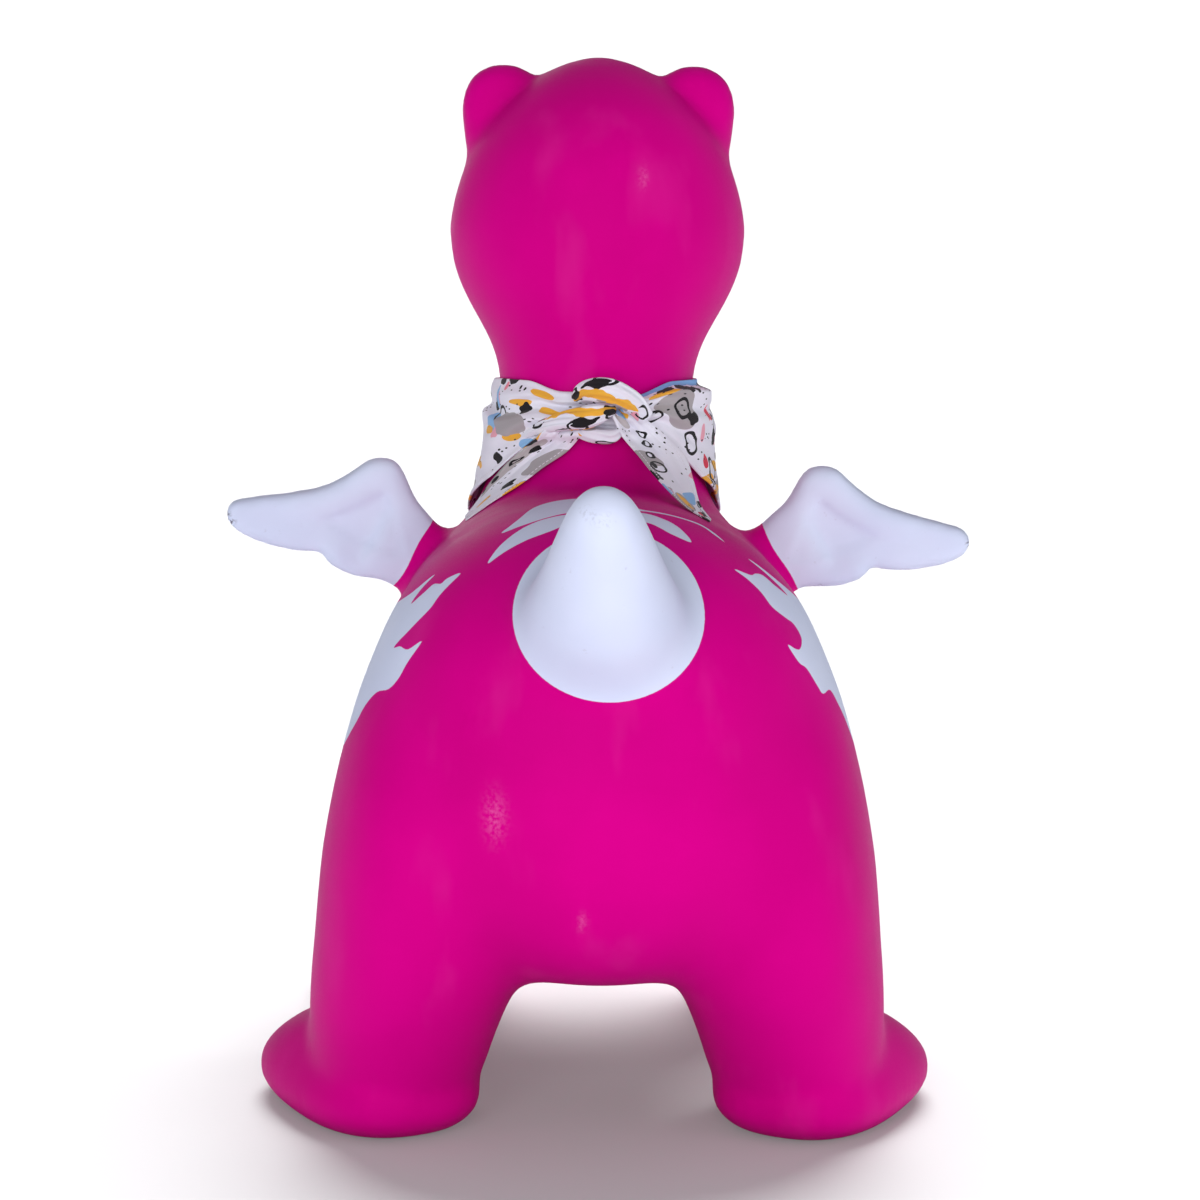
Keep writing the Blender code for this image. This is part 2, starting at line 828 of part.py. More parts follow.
def plate(bm, outline, depth):
    """An outline in x and z with a depth along y."""
    ends = [[bm.verts.new((x, y, z)) for x, z in outline] for y in (-depth / 2, depth / 2)]
    for i in range(len(outline)):
        j = (i + 1) % len(outline)
        bm.faces.new((ends[0][i], ends[0][j], ends[1][j], ends[1][i]))
    bm.faces.new(ends[0])
    bm.faces.new(ends[1])


def make_wing(name, side, collection):
    """The white wing: a flat blade with scalloped feathers and a thick arm along its upper edge."""
    bm = bmesh.new()
    for shares, depth in ((wing_outline_shares, wing_edge_depth), (wing_arm_shares, wing_arm_depth)):
        outline = [(side * wing_reach * u, wing_rise * w) for u, w in closed_through(shares, steps_between)]
        plate(bm, outline, depth)
    lift = Matrix.Rotation(math.radians(-side * wing_lift_deg[name]), 4, "Y")
    middle_x = wing_root_x + wing_paint_line * math.cos(math.radians(wing_root_tilt_deg))
    place = Matrix.Translation((side * middle_x, wing_root_y, wing_root_height)) @ lift
    bm.transform(place)
    mesh = soften("wing", bm, collection, fine_voxel, wing_passes, wing_triangles_share)
    low, high = (-wing_reach, -wing_reach, -wing_reach), (wing_reach, wing_reach, wing_paint_line)
    inner = box_mesh(low, high, wing_root_frame(side))
    return combine(mesh, inner, "DIFFERENCE")


def bore_valve(torso):
    """A flat seat in the belly and a blind bore up from it."""
    seat = Matrix.Translation((0, valve_y, 0))
    seat_radius = plug_flange_radius + valve_seat_margin
    recess = round_region(seat_radius, seat_radius, ankle_bottom_height, valve_seat_height, seat)
    bore_top = valve_seat_height + valve_bore_depth
    bore = round_region(valve_bore_radius, valve_bore_radius, belly_height, bore_top, seat)
    return combine(combine(torso, recess(0), "DIFFERENCE"), bore(0), "DIFFERENCE")


def make_plug(collection):
    """The valve plug, turned about its own axis: a grip, a flange and a shank with sealing ribs."""
    shank = valve_bore_radius - plug_clearance
    waist = shank * plug_waist_share
    flange_top = -gap
    flange_bottom = flange_top - plug_flange_thickness
    grip_bottom = flange_bottom - plug_grip_length
    tip = flange_top + plug_shank_length
    step = plug_shank_length / (3 * plug_ribs + 2)
    profile = [(0, grip_bottom), (plug_grip_radius, grip_bottom), (plug_grip_radius, flange_bottom)]
    profile += [(plug_flange_radius, flange_bottom), (plug_flange_radius, flange_top), (waist, flange_top)]
    for i in range(plug_ribs):
        low = flange_top + step * (3 * i + 2)
        profile += [(waist, low), (shank, low + step), (waist, low + 2 * step)]
    profile += [(waist * plug_waist_share, tip), (0, tip)]
    bm = bmesh.new()
    line = [bm.verts.new((radius, 0, z)) for radius, z in profile]
    for low, high in zip(line, line[1:]):
        bm.edges.new((low, high))
    mesh = bpy.data.meshes.new("plug_profile")
    bm.to_mesh(mesh)
    bm.free()
    obj = add_object("plug_profile", mesh, collection)
    turn = obj.modifiers.new("turn", "SCREW")
    turn.steps = turn.render_steps = ring_sides
    turn.use_merge_vertices = True
    turn.merge_threshold = gap / 10
    turned = evaluated_mesh(obj)
    bpy.data.objects.remove(obj)
    bm = bmesh.new()
    bm.from_mesh(turned)
    bmesh.ops.translate(bm, verts=bm.verts, vec=(0, valve_y, valve_seat_height))
    return mesh_of(bm, "valve_plug")


def tree_of(meshes):
    """The surfaces of several meshes, to lay cloth on."""
    points, faces = [], []
    for mesh in meshes:
        first = len(points)
        points += [vert.co.copy() for vert in mesh.vertices]
        faces += [[first + i for i in face.vertices] for face in mesh.polygons]
    return BVHTree.FromPolygons(points, faces)


def cloth(name, rows, collection):
    """A closed sheet of cloth through rows of points on its inner face."""
    bm = bmesh.new()
    verts = [[bm.verts.new(point) for point in row] for row in rows]
    around_neck = rows[0][0] == rows[0][-1]
    for row in verts:
        if around_neck:
            bm.verts.remove(row.pop())
    for low, high in zip(verts, verts[1:]):
        count = len(low) if around_neck else len(low) - 1
        for i in range(count):
            j = (i + 1) % len(low)
            bm.faces.new((low[i], low[j], high[j], high[i]))
    bmesh.ops.recalc_face_normals(bm, faces=bm.faces)
    mesh = bpy.data.meshes.new(name)
    bm.to_mesh(mesh)
    bm.free()
    obj = add_object(name, mesh, collection)
    thick = obj.modifiers.new("thick", "SOLIDIFY")
    thick.thickness = cloth_thickness
    thick.offset = 1
    result = evaluated_mesh(obj)
    bpy.data.objects.remove(obj)
    return result


def along(shares, place):
    """The value of an evenly spaced list of shares at a place from 0 to 1."""
    at = place * (len(shares) - 1)
    low = min(int(at), len(shares) - 2)
    return shares[low] + (shares[low + 1] - shares[low]) * (at - low)


def make_band(skin_tree, collection):
    """The folded bandana round the neck, short at the nape and drawn to a point on the chest."""
    rows = []
    for i in range(bandana_rows + 1):
        row = []
        for k in range(bandana_columns + 1):
            angle = 2 * math.pi * (k % bandana_columns) / bandana_columns
            half_turn = abs(1 - abs(angle / math.pi - 1))
            forward = neck_half_depth * (1 - math.cos(angle))
            high = bandana_nape_height - bandana_tilt_share * forward
            low = bandana_nape_height - bandana_nape_depth - bandana_drop * along(bandana_drop_shares, half_turn)
            z = high + (low - high) * i / bandana_rows
            lean = neck_lean * (z - neck_foot_height) / neck_length
            outward = Vector((math.sin(angle), -math.cos(angle), 0))
            start = Vector((0, neck_y + lean, z)) + 4 * neck_half_depth * outward
            place, _, _, _ = skin_tree.ray_cast(start, -outward)
            fold = (1 + math.sin(bandana_folds * angle + 2 * math.pi * i / bandana_rows)) / 2
            slack = bandana_slack * along(bandana_slack_shares, i / bandana_rows)
            slack += bandana_right_slack * along(bandana_right_slack_shares, i / bandana_rows) * max(0, outward.x)
            row.append(place + outward * (cloth_seat + slack + bandana_fold_depth * fold))
        rows.append(row)
    return cloth("bandana_band", rows, collection)


def make_knot(under_tree, collection):
    """The knot at the nape: a lump of cloth with one turn drawn tight over it."""
    place, _, _, _ = under_tree.ray_cast(Vector((0, torso_rear, knot_height)), Vector((0, 1, 0)))
    bm = bmesh.new()
    middle = place.y - cloth_seat - knot_half_depth
    turn_depth = knot_half_depth + cloth_thickness
    sizes = (knot_half_width, knot_half_depth, knot_half_height * (1 - knot_turn_share / 2))
    turn_sizes = (knot_half_width * knot_turn_share, turn_depth, knot_half_height)
    for half, tilt in ((sizes, knot_tilt_deg), (turn_sizes, -knot_tilt_deg)):
        frame = Matrix.Translation((0, middle, knot_height)) @ Matrix.Rotation(math.radians(tilt), 4, "Y")
        matrix = frame @ Matrix.Diagonal((*half, 1))
        bmesh.ops.create_uvsphere(bm, u_segments=ring_sides, v_segments=ring_sides // 2, radius=1, matrix=matrix)
    return soften("knot", bm, collection, fine_voxel, knot_passes, knot_triangles_share)


def facing_normal(tree, place, look):
    """The mean direction of the surface round a point, of the faces that are turned to the viewer."""
    total = Vector((0, 0, 0))
    for _, normal, _, _ in tree.find_nearest_range(place, end_smooth_radius):
        if normal.dot(look) < 0:
            total += normal
    return total.normalized()


def make_end(name, under_tree, collection):
    """One hanging end of the bandana, from the knot to its pointed tip: laid on what is under it, and drawn straight
    where that falls away."""
    start = Vector((end_start_x[name], 0, knot_height + end_start_rise[name]))
    tip = Vector((end_tip_x[name], 0, knot_height - end_drop[name]))
    run = tip - start
    across = Vector((run.z, 0, -run.x))
    look = Vector((0, math.cos(math.radians(end_look_deg)), -math.sin(math.radians(end_look_deg))))
    spine = through(end_shares[name], steps_between)
    laid = []
    for i in range(end_rows + 1):
        place, bow, width = spine[round(i * (len(spine) - 1) / end_rows)]
        row = []
        for k in range(end_columns + 1):
            aside = bow + width * (k / end_columns - 1 / 2)
            point = start + run * place + across * aside
            hit, _, _, _ = under_tree.ray_cast(point - look * head_top_height, look)
            if hit is None:
                hit, _, _, _ = under_tree.find_nearest(point)
            fold = (1 + math.sin(2 * math.pi * end_folds * k / end_columns)) / 2
            lift = facing_normal(under_tree, hit, look) * (cloth_seat + end_fold_depth * fold)
            row.append((point, (hit - point).dot(look), lift))
        laid.append(row)
    rows = []
    for i, row in enumerate(laid):
        rows.append([])
        for (point, depth, lift), (_, first, _), (_, last, _) in zip(row, laid[0], laid[-1]):
            taut = first + (last - first) * i / end_rows
            rows[-1].append(point + look * min(depth, taut) + lift)
    return cloth("bandana_end", rows, collection)


def joint_places():
    """Where each moving piece turns or slides, by name."""
    neck_middle = neck_flex_height + neck_flex_length / 2
    places = {"head": Vector((0, neck_y + neck_lean, neck_middle))}
    places["tail"] = tail_frame() @ Vector((0, 0, (tail_root_start + tail_root_end) / 2))
    places["valve_plug"] = Vector((0, valve_y, valve_seat_height))
    for name, side in sides.items():
        places[f"ear_{name}"] = ear_frame(side) @ Vector((0, 0, ear_root_length / 2))
        places[f"wing_{name}"] = wing_root_frame(side) @ Vector((0, 0, (wing_root_start + wing_paint_line) / 2))
        for end in ("rear", "front"):
            x, y = foot_place(end, side)
            places[f"foot_{end}_{name}"] = Vector((x, y, (ankle_bottom_height + ankle_top_height) / 2))
    return places


def main():
    clear_scene()
    parts = make_collection("bouncing_animal")
    work = make_collection("cutters")
    pink = make_material("pink_skin", (0.60, 0.002, 0.20), 0.45)
    white = make_material("white_paint", (0.80, 0.78, 0.88), 0.45)
    plug_white = make_material("plug_white", (0.80, 0.80, 0.80), 0.4)
    printed = make_material("printed_cotton", (0.75, 0.74, 0.76), 0.9)
    skin = make_skin(work)
    clear_skin = swollen(skin, gap)
    pieces = cut_skin(skin)
    for name, side in sides.items():
        pieces[f"wing_{name}"] = make_wing(name, side, work)
    pieces["valve_plug"] = make_plug(work)
    band = combine(make_band(tree_of([skin]), work), clear_skin, "DIFFERENCE")
    clear_band = swollen(band, gap)
    under = tree_of([skin, band])
    knot = combine(make_knot(under, work), clear_band, "DIFFERENCE")
    clear_knot = swollen(knot, gap)
    pieces["bandana_band"] = band
    pieces["bandana_knot"] = knot
    for name in sides:
        end = make_end(name, under, work)
        for other in (clear_knot, clear_skin, clear_band):
            end = combine(end, other, "DIFFERENCE")
        pieces[f"bandana_end_{name}"] = end
    places = joint_places()
    for name, mesh in pieces.items():
        material = pink
        if name.startswith(("tail", "wing_left", "wing_right")):
            material = white
        elif name.startswith("bandana"):
            material = printed
        elif name == "valve_plug":
            material = plug_white
        place = places.get(name, Vector((0, 0, 0)))
        mesh.transform(Matrix.Translation(-place))
        add_object(name, mesh, parts, material).location = place


main()
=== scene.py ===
"""How the bouncing animal looks: its inflated skin as one run of form with its sprayed paint, the valve in
its belly and the printed cotton bandana round its neck."""

import math

import bmesh
import bpy
import numpy as np
from mathutils import Matrix, Vector
from mathutils.bvhtree import BVHTree


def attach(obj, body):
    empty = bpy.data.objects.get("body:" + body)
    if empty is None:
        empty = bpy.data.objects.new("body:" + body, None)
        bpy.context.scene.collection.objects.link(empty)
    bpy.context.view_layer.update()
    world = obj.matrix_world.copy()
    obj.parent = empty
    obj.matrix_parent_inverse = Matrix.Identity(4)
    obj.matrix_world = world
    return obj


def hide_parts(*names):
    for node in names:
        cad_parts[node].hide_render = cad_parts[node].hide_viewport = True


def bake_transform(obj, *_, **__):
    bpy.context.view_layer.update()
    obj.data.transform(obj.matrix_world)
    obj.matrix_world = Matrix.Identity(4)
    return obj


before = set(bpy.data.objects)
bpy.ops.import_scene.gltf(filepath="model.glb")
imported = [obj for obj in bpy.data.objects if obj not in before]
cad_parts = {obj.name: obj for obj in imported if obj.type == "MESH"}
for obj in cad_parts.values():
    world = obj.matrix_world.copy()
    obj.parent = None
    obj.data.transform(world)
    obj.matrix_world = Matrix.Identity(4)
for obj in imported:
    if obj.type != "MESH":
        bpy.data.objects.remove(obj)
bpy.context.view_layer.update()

sides = {"left": -1, "right": 1}

# sections of the forms under the skin, in metres: place, across, along, half across, half along

torso_rings = (
    (-0.2140, 0, 0.1891, 0.0149, 0.0229),
    (-0.2034, 0, 0.1921, 0.0622, 0.0678),
    (-0.1823, 0, 0.2004, 0.0946, 0.1006),
    (-0.1463, 0, 0.2088, 0.1183, 0.1213),
    (-0.0956, 0, 0.2145, 0.1295, 0.1275),
    (-0.0279, 0, 0.2132, 0.1264, 0.1233),
    (0.0398, 0, 0.2110, 0.1226, 0.1194),
    (0.0990, 0, 0.2088, 0.1183, 0.1143),
    (0.1498, 0, 0.2133, 0.1046, 0.1013),
    (0.1878, 0, 0.2241, 0.0722, 0.0666),
    (0.2090, 0, 0.2269, 0.0199, 0.0125),
)
neck_rings = (
    (0.2620, 0, 0.1049, 0.0912, 0.1037),
    (0.2880, 0, 0.1093, 0.0777, 0.0934),
    (0.3114, 0, 0.1132, 0.0676, 0.0845),
    (0.3400, 0, 0.1180, 0.0608, 0.0749),
    (0.3660, 0, 0.1224, 0.0574, 0.0678),
    (0.3920, 0, 0.1267, 0.0563, 0.0640),
)
head_rings = (
    (0.3920, 0, 0.1267, 0.0589, 0.0630),
    (0.4079, 0, 0.1314, 0.0660, 0.0702),
    (0.4274, 0, 0.1356, 0.0789, 0.0810),
    (0.4504, 0, 0.1387, 0.0879, 0.0882),
    (0.4734, 0, 0.1405, 0.0892, 0.0900),
    (0.4982, 0, 0.1413, 0.0816, 0.0855),
    (0.5230, 0, 0.1417, 0.0718, 0.0774),
    (0.5460, 0, 0.1417, 0.0512, 0.0590),
    (0.5619, 0, 0.1417, 0.0290, 0.0350),
    (0.5700, 0, 0.1417, 0.0090, 0.0110),
)
muzzle_rings = (
    (0.1417, 0, 0.4681, 0.0696, 0.0581),
    (0.1860, 0, 0.4669, 0.0675, 0.0569),
    (0.2151, 0, 0.4629, 0.0612, 0.0517),
    (0.2404, 0, 0.4588, 0.0584, 0.0464),
    (0.2568, 0, 0.4565, 0.0487, 0.0383),
    (0.2682, 0, 0.4553, 0.0237, 0.0186),
)
ear_rings = (
    (0.4780, 0.0515, 0.1498, 0.0204, 0.0190),
    (0.5081, 0.0529, 0.1498, 0.0240, 0.0190),
    (0.5314, 0.0558, 0.1498, 0.0248, 0.0181),
    (0.5470, 0.0558, 0.1498, 0.0228, 0.0156),
    (0.5568, 0.0558, 0.1498, 0.0170, 0.0118),
    (0.5626, 0.0558, 0.1498, 0.0065, 0.0046),
)
tail_rings = (
    (-0.0267, 0.0000, 0.0060, 0.0530, 0.0440),
    (0.0000, 0.0000, 0.0050, 0.0500, 0.0415),
    (0.0146, 0.0000, 0.0030, 0.0448, 0.0395),
    (0.0340, 0.0000, 0.0010, 0.0382, 0.0366),
    (0.0547, -0.0004, 0.0000, 0.0322, 0.0322),
    (0.0790, -0.0010, 0.0000, 0.0260, 0.0262),
    (0.0996, -0.0015, 0.0000, 0.0202, 0.0205),
    (0.1124, -0.0018, 0.0000, 0.0147, 0.0148),
    (0.1192, -0.0020, 0.0000, 0.0082, 0.0082),
    (0.1210, -0.0020, 0.0000, 0.0022, 0.0022),
)
hind_leg_rings = (
    (0.2873, 0.0593, -0.0842, 0.0389, 0.0457),
    (0.2571, 0.0723, -0.0917, 0.0531, 0.0697),
    (0.2117, 0.0829, -0.1041, 0.0572, 0.0830),
    (0.1764, 0.0894, -0.1079, 0.0584, 0.0847),
    (0.1462, 0.0935, -0.1099, 0.0590, 0.0830),
    (0.1059, 0.0976, -0.1120, 0.0581, 0.0764),
    (0.0756, 0.1020, -0.1120, 0.0566, 0.0664),
    (0.0479, 0.1077, -0.1058, 0.0519, 0.0598),
    (0.0151, 0.1106, -0.1016, 0.0472, 0.0548),
)
front_leg_rings = (
    (0.2521, 0.0549, 0.1020, 0.0322, 0.0358),
    (0.2344, 0.0650, 0.1078, 0.0458, 0.0512),
    (0.2016, 0.0770, 0.1158, 0.0520, 0.0627),
    (0.1462, 0.0871, 0.1219, 0.0520, 0.0640),
    (0.1059, 0.0931, 0.1247, 0.0510, 0.0602),
    (0.0756, 0.0970, 0.1257, 0.0494, 0.0550),
    (0.0479, 0.1012, 0.1279, 0.0468, 0.0499),
    (0.0151, 0.1030, 0.1299, 0.0426, 0.0461),
)
foot_rings = (
    (-0.0060, 0, 0.0010, 0.0330, 0.0500),
    (0.0000, 0, 0.0010, 0.0405, 0.0620),
    (0.0069, 0, 0.0005, 0.0480, 0.0728),
    (0.0151, 0, 0.0000, 0.0524, 0.0783),
    (0.0241, 0, -0.0008, 0.0519, 0.0774),
    (0.0331, 0, -0.0032, 0.0482, 0.0719),
    (0.0427, 0, -0.0079, 0.0435, 0.0624),
    (0.0531, 0, -0.0142, 0.0360, 0.0490),
    (0.0600, 0, -0.0190, 0.0244, 0.0300),
)
wing_root_rings = (
    (-0.0420, 0, 0, 0.0349, 0.0217),
    (-0.0210, 0, 0, 0.0281, 0.0175),
    (0.0000, 0, 0, 0.0229, 0.0143),
    (0.0150, 0, 0, 0.0221, 0.0137),
    (0.0300, 0, 0, 0.0225, 0.0140),
)
# The wing's outline and the forms on it, as seen from behind: out from the root's middle, and up.
wing_outline = (
    (-0.0108, 0.0211), (0.0002, 0.0340), (0.0066, 0.0462), (0.0122, 0.0548), (0.0205, 0.0580),
    (0.0297, 0.0560), (0.0395, 0.0477), (0.0537, 0.0383), (0.0709, 0.0328), (0.0985, 0.0266),
    (0.1064, 0.0240), (0.1094, 0.0170), (0.1050, 0.0092), (0.0925, 0.0034), (0.0800, 0.0004),
    (0.0680, -0.0008), (0.0580, -0.0004), (0.0518, 0.0018), (0.0484, -0.0058), (0.0355, -0.0116),
    (0.0215, -0.0130), (0.0086, -0.0136), (-0.0086, -0.0150),
)
wing_arm = (
    (-0.0108, 0.0194), (0.0040, 0.0345), (0.0131, 0.0490), (0.0216, 0.0522), (0.0301, 0.0500),
    (0.0420, 0.0390), (0.0580, 0.0318), (0.0720, 0.0275), (0.0720, 0.0220), (0.0600, 0.0215),
    (0.0479, 0.0262), (0.0328, 0.0344), (0.0195, 0.0420), (0.0110, 0.0285), (0.0060, 0.0186),
    (0.0010, 0.0090), (-0.0060, -0.0100), (-0.0090, -0.0140),
)
wing_thick, arm_thick = 0.0160, 0.0208
# The hollow below the arm, on both faces of the wing, and the soft swellings beside it: place, size, rise.
wing_hollow = (
    (0.0192, 0.0405), (0.0328, 0.0325), (0.0470, 0.0250), (0.0560, 0.0205), (0.0500, 0.0150),
    (0.0400, 0.0100), (0.0290, 0.0060), (0.0180, 0.0030), (0.0080, 0.0020), (0.0040, 0.0060),
    (0.0070, 0.0180), (0.0120, 0.0290),
)
hollow_deep, hollow_edge = 0.0018, (-0.0006, 0.0048)
wing_swellings = (
    ((0.0430, 0.0010), (0.0090, 0.0080), 0.0022),
    ((0.0250, -0.0060), (0.0160, 0.0070), 0.0012),
    ((0.0700, 0.0090), (0.0180, 0.0060), 0.0008),
)
wing_lift_deg = {"left": 5.1, "right": -2.6}

# where the joints' soft places are

neck_seam = Matrix.Translation((0, 0.1049, 0.3250)) @ Matrix.Rotation(math.radians(-15), 4, "X")
neck_top_height = 0.4046
ankle_heights = (0.0490, 0.0800)
foot_places = {"rear": (0.1260, -0.0844, 26.0, 1.0), "front": (0.1130, 0.1298, 14.0, 0.9)}
foot_reach = 0.1003
tail_frame = Matrix.Translation((0, -0.1800, 0.2866)) @ Matrix.Rotation(math.radians(43), 4, "X")
tail_soft = (0.01215, 0.02673)
ear_places = (0.0623, 0.1498, 0.5326, 58.0)
ear_region = (0.0319, 0.0230)
ear_soft = (0.0, 0.00671)
wing_places = (0.10097, 0.06814, 0.28201, 60.0)
wing_soft = (-0.0039, 0.0067)
wing_middle_x = 0.10676
valve_place = (0, 0.00385, 0.0925)
valve_hole, recess_edge, recess_lip = 0.0085, (0.0125, 0.0175), 0.0012
belly_top = 0.12

# how the joined skin is softened: passes over every point, with fewer or more of them by place

trunk_voxel, skin_voxel = 0.006, 0.003
trunk_passes, skin_passes = 26.0, 16.0
fewer_on_wing, fewer_on_ear, fewer_on_foot, fewer_on_tail, more_by_tail = 11, 9, 7, 9, 34
wing_begins, ear_begins, ear_rises = (0.106, 0.120), (0.026, 0.036), (0.524, 0.540)
foot_top, tail_rises = (0.050, 0.025), (0.018, 0.045)
by_tail_up, by_tail_out = (0.014, 0.034), (0.060, 0.080)
# Where a wing can be: along y, from which height, and from how far out. Then the tail's reach from its axis.
wing_depth, wing_low, wing_from, tail_reach = (0.03, 0.11), 0.24, 0.09, 0.1
sole_blur = 0.0016

cheek_place, cheek_long, cheek_high, cheek_low, cheek_proud = (0.1650, 0.4665), 0.022, 0.0095, 0.0060, 0.0016
ear_bowl_place, ear_bowl_size, ear_bowl_deep = (0.0600, 0.1690, 0.5440), (0.0135, 0.020, 0.0150), 0.0085


def frame_at(side, place):
    """A frame whose +Z points out along an ear or a wing root."""
    x, y, z, turn_deg = place
    turn = Matrix.Rotation(math.radians(side * turn_deg), 4, "Y")
    return Matrix.Translation((side * x, y, z)) @ turn


def wing_frame(name):
    """A frame in the middle of a wing's root, tilted as the wing is."""
    side = sides[name]
    lift = Matrix.Rotation(math.radians(-side * wing_lift_deg[name]), 4, "Y")
    return Matrix.Translation((side * wing_middle_x, wing_places[1], wing_places[2])) @ lift


# making forms

round_sides, ring_steps = 40, 5
# How square the sections are: 2 is an ellipse.
torso_power, leg_power, ear_power, foot_power = 2.2, 2.15, 2.3, 2.5


def through(rows, steps):
    """A smooth curve through rows of numbers."""
    rows = np.array(rows, float)
    ends = np.vstack([2 * rows[0] - rows[1], rows, 2 * rows[-1] - rows[-2]])
    points = []
    for i in range(1, len(rows)):
        before, start, end, after = ends[i - 1 : i + 3]
        for k in range(steps):
            t = k / steps
            bend = 2 * before - 5 * start + 4 * end - after
            turn = 3 * start - before - 3 * end + after
            points.append((2 * start + (end - before) * t + bend * t * t + turn * t**3) / 2)
    points.append(rows[-1])
    return np.array(points)


def smooth_loop(outline, steps):
    """A smooth closed curve through an outline's points."""
    points = through([outline[-1], *outline, outline[0], outline[1]], steps)
    return points[steps : steps + len(outline) * steps]


def loft(bm, rings, axis, power=2.0):
    """A closed form through sections, each between an ellipse (power 2) and a rectangle."""
    order = {"Y": (0, 2, 1), "Z": (0, 1, 2)}[axis]
    made = []
    for place, u, v, half_u, half_v in through(rings, ring_steps):
        ring = []
        for i in range(round_sides):
            angle = 2 * math.pi * i / round_sides
            c, s = math.cos(angle), math.sin(angle)
            du = half_u * math.copysign(abs(c) ** (2 / power), c)
            dv = half_v * math.copysign(abs(s) ** (2 / power), s)
            local = (u + du, v + dv, place)
            ring.append(bm.verts.new([local[order[k]] for k in range(3)]))
        made.append(ring)
    for low, high in zip(made, made[1:]):
        for i in range(round_sides):
            j = (i + 1) % round_sides
            bm.faces.new((low[i], low[j], high[j], high[i]))
    bm.faces.new(made[0])
    bm.faces.new(made[-1])
    return [vert for ring in made for vert in ring]


def move(bm, verts, matrix):
    bmesh.ops.transform(bm, matrix=matrix, verts=verts)


def mirrored(rings, side):
    return [(z, side * x, y, half_x, half_y) for z, x, y, half_x, half_y in rings]


def plate(bm, outline, depth):
    """An outline in x and z with a depth along y."""
    ends = [[bm.verts.new((x, y, z)) for x, z in outline] for y in (-depth / 2, depth / 2)]
    for i in range(len(outline)):
        j = (i + 1) % len(outline)
        bm.faces.new((ends[0][i], ends[0][j], ends[1][j], ends[1][i]))
    bm.faces.new(ends[0])
    bm.faces.new(ends[1])
    return ends[0] + ends[1]


def mesh_of(bm, name):
    bmesh.ops.recalc_face_normals(bm, faces=bm.faces)
    mesh = bpy.data.meshes.new(name)
    bm.to_mesh(mesh)
    bm.free()
    return mesh


def put(name, data):
    """A new object of the scene."""
    obj = bpy.data.objects.new(name, data)
    bpy.context.scene.collection.objects.link(obj)
    return obj


def shown(name, mesh, material=None):
    obj = put(name, mesh)
    if material:
        mesh.materials.clear()
        mesh.materials.append(material)
    return obj


def shade_smooth(mesh):
    mesh.polygons.foreach_set("use_smooth", [True] * len(mesh.polygons))


def rounded_off(obj):
    """The object's mesh, subdivided once and shaded smooth. The object is removed."""
    rounding = obj.modifiers.new("round", "SUBSURF")
    rounding.levels = rounding.render_levels = 1
    mesh = plain_mesh(obj)
    shade_smooth(mesh)
    return mesh


def plain_mesh(obj):
    """The object's mesh with its modifiers applied. The object is removed."""
    bpy.context.view_layer.update()
    graph = bpy.context.evaluated_depsgraph_get()
    mesh = bpy.data.meshes.new_from_object(obj.evaluated_get(graph))
    bpy.data.objects.remove(obj)
    return mesh


def fused(bm, voxel):
    """One closed skin round all forms."""
    obj = shown("fused", mesh_of(bm, "fused"))
    remesh = obj.modifiers.new("fuse", "REMESH")
    remesh.mode = "VOXEL"
    remesh.voxel_size = voxel
    return plain_mesh(obj)


def points_of(mesh):
    flat = np.empty(len(mesh.vertices) * 3, np.float32)
    mesh.vertices.foreach_get("co", flat)
    return flat.reshape(-1, 3).astype(float)


def edges_of(mesh):
    flat = np.empty(len(mesh.edges) * 2, np.int32)
    mesh.edges.foreach_get("vertices", flat)
    return flat.reshape(-1, 2)


def set_points(mesh, points):
    mesh.vertices.foreach_set("co", points.astype(np.float32).ravel())
    mesh.update()


def relax(points, edges, passes):
    """Each point moves half the way to the middle of its neighbours, in as many passes as it has."""
    count = len(points)
    degree = np.maximum(np.bincount(edges.ravel(), minlength=count), 1)
    for i in range(int(passes.max())):
        middle = np.empty_like(points)
        for axis in range(3):
            total = np.bincount(edges[:, 0], points[edges[:, 1], axis], count)
            total += np.bincount(edges[:, 1], points[edges[:, 0], axis], count)
            middle[:, axis] = total / degree
        share = np.clip(passes - i, 0, 1)[:, None] / 2
        points = points + (middle - points) * share
    return points


def smoothstep(x, low, high):
    t = np.clip((x - low) / (high - low), 0, 1)
    return t * t * (3 - 2 * t)


def local_to(matrix, points):
    """Points in a frame's own coordinates."""
    inverse = np.array(matrix.inverted())
    return points @ inverse[:3, :3].T + inverse[:3, 3]


# the skin


def torso_head_and_legs(bm):
    loft(bm, torso_rings, "Y", torso_power)
    loft(bm, neck_rings, "Z")
    loft(bm, head_rings, "Z")
    loft(bm, muzzle_rings, "Y")
    for side in sides.values():
        loft(bm, mirrored(hind_leg_rings, side), "Z", leg_power)
        loft(bm, mirrored(front_leg_rings, side), "Z", leg_power)


def foot(bm, side, end):
    x, y, toe_out_deg, size = foot_places[end]
    rings = [(z, 0, back * size, w * size, length * size) for z, _, back, w, length in foot_rings]
    turn = Matrix.Rotation(math.radians(-side * toe_out_deg), 4, "Z")
    move(bm, loft(bm, rings, "Z", foot_power), Matrix.Translation((side * x, y, 0)) @ turn)


def wing(bm, name):
    """The wing's blade and the thick arm along its upper edge."""
    for outline, depth in ((wing_outline, wing_thick), (wing_arm, arm_thick)):
        verts = plate(bm, [(sides[name] * x, z) for x, z in smooth_loop(outline, 5)], depth)
        move(bm, verts, wing_frame(name))


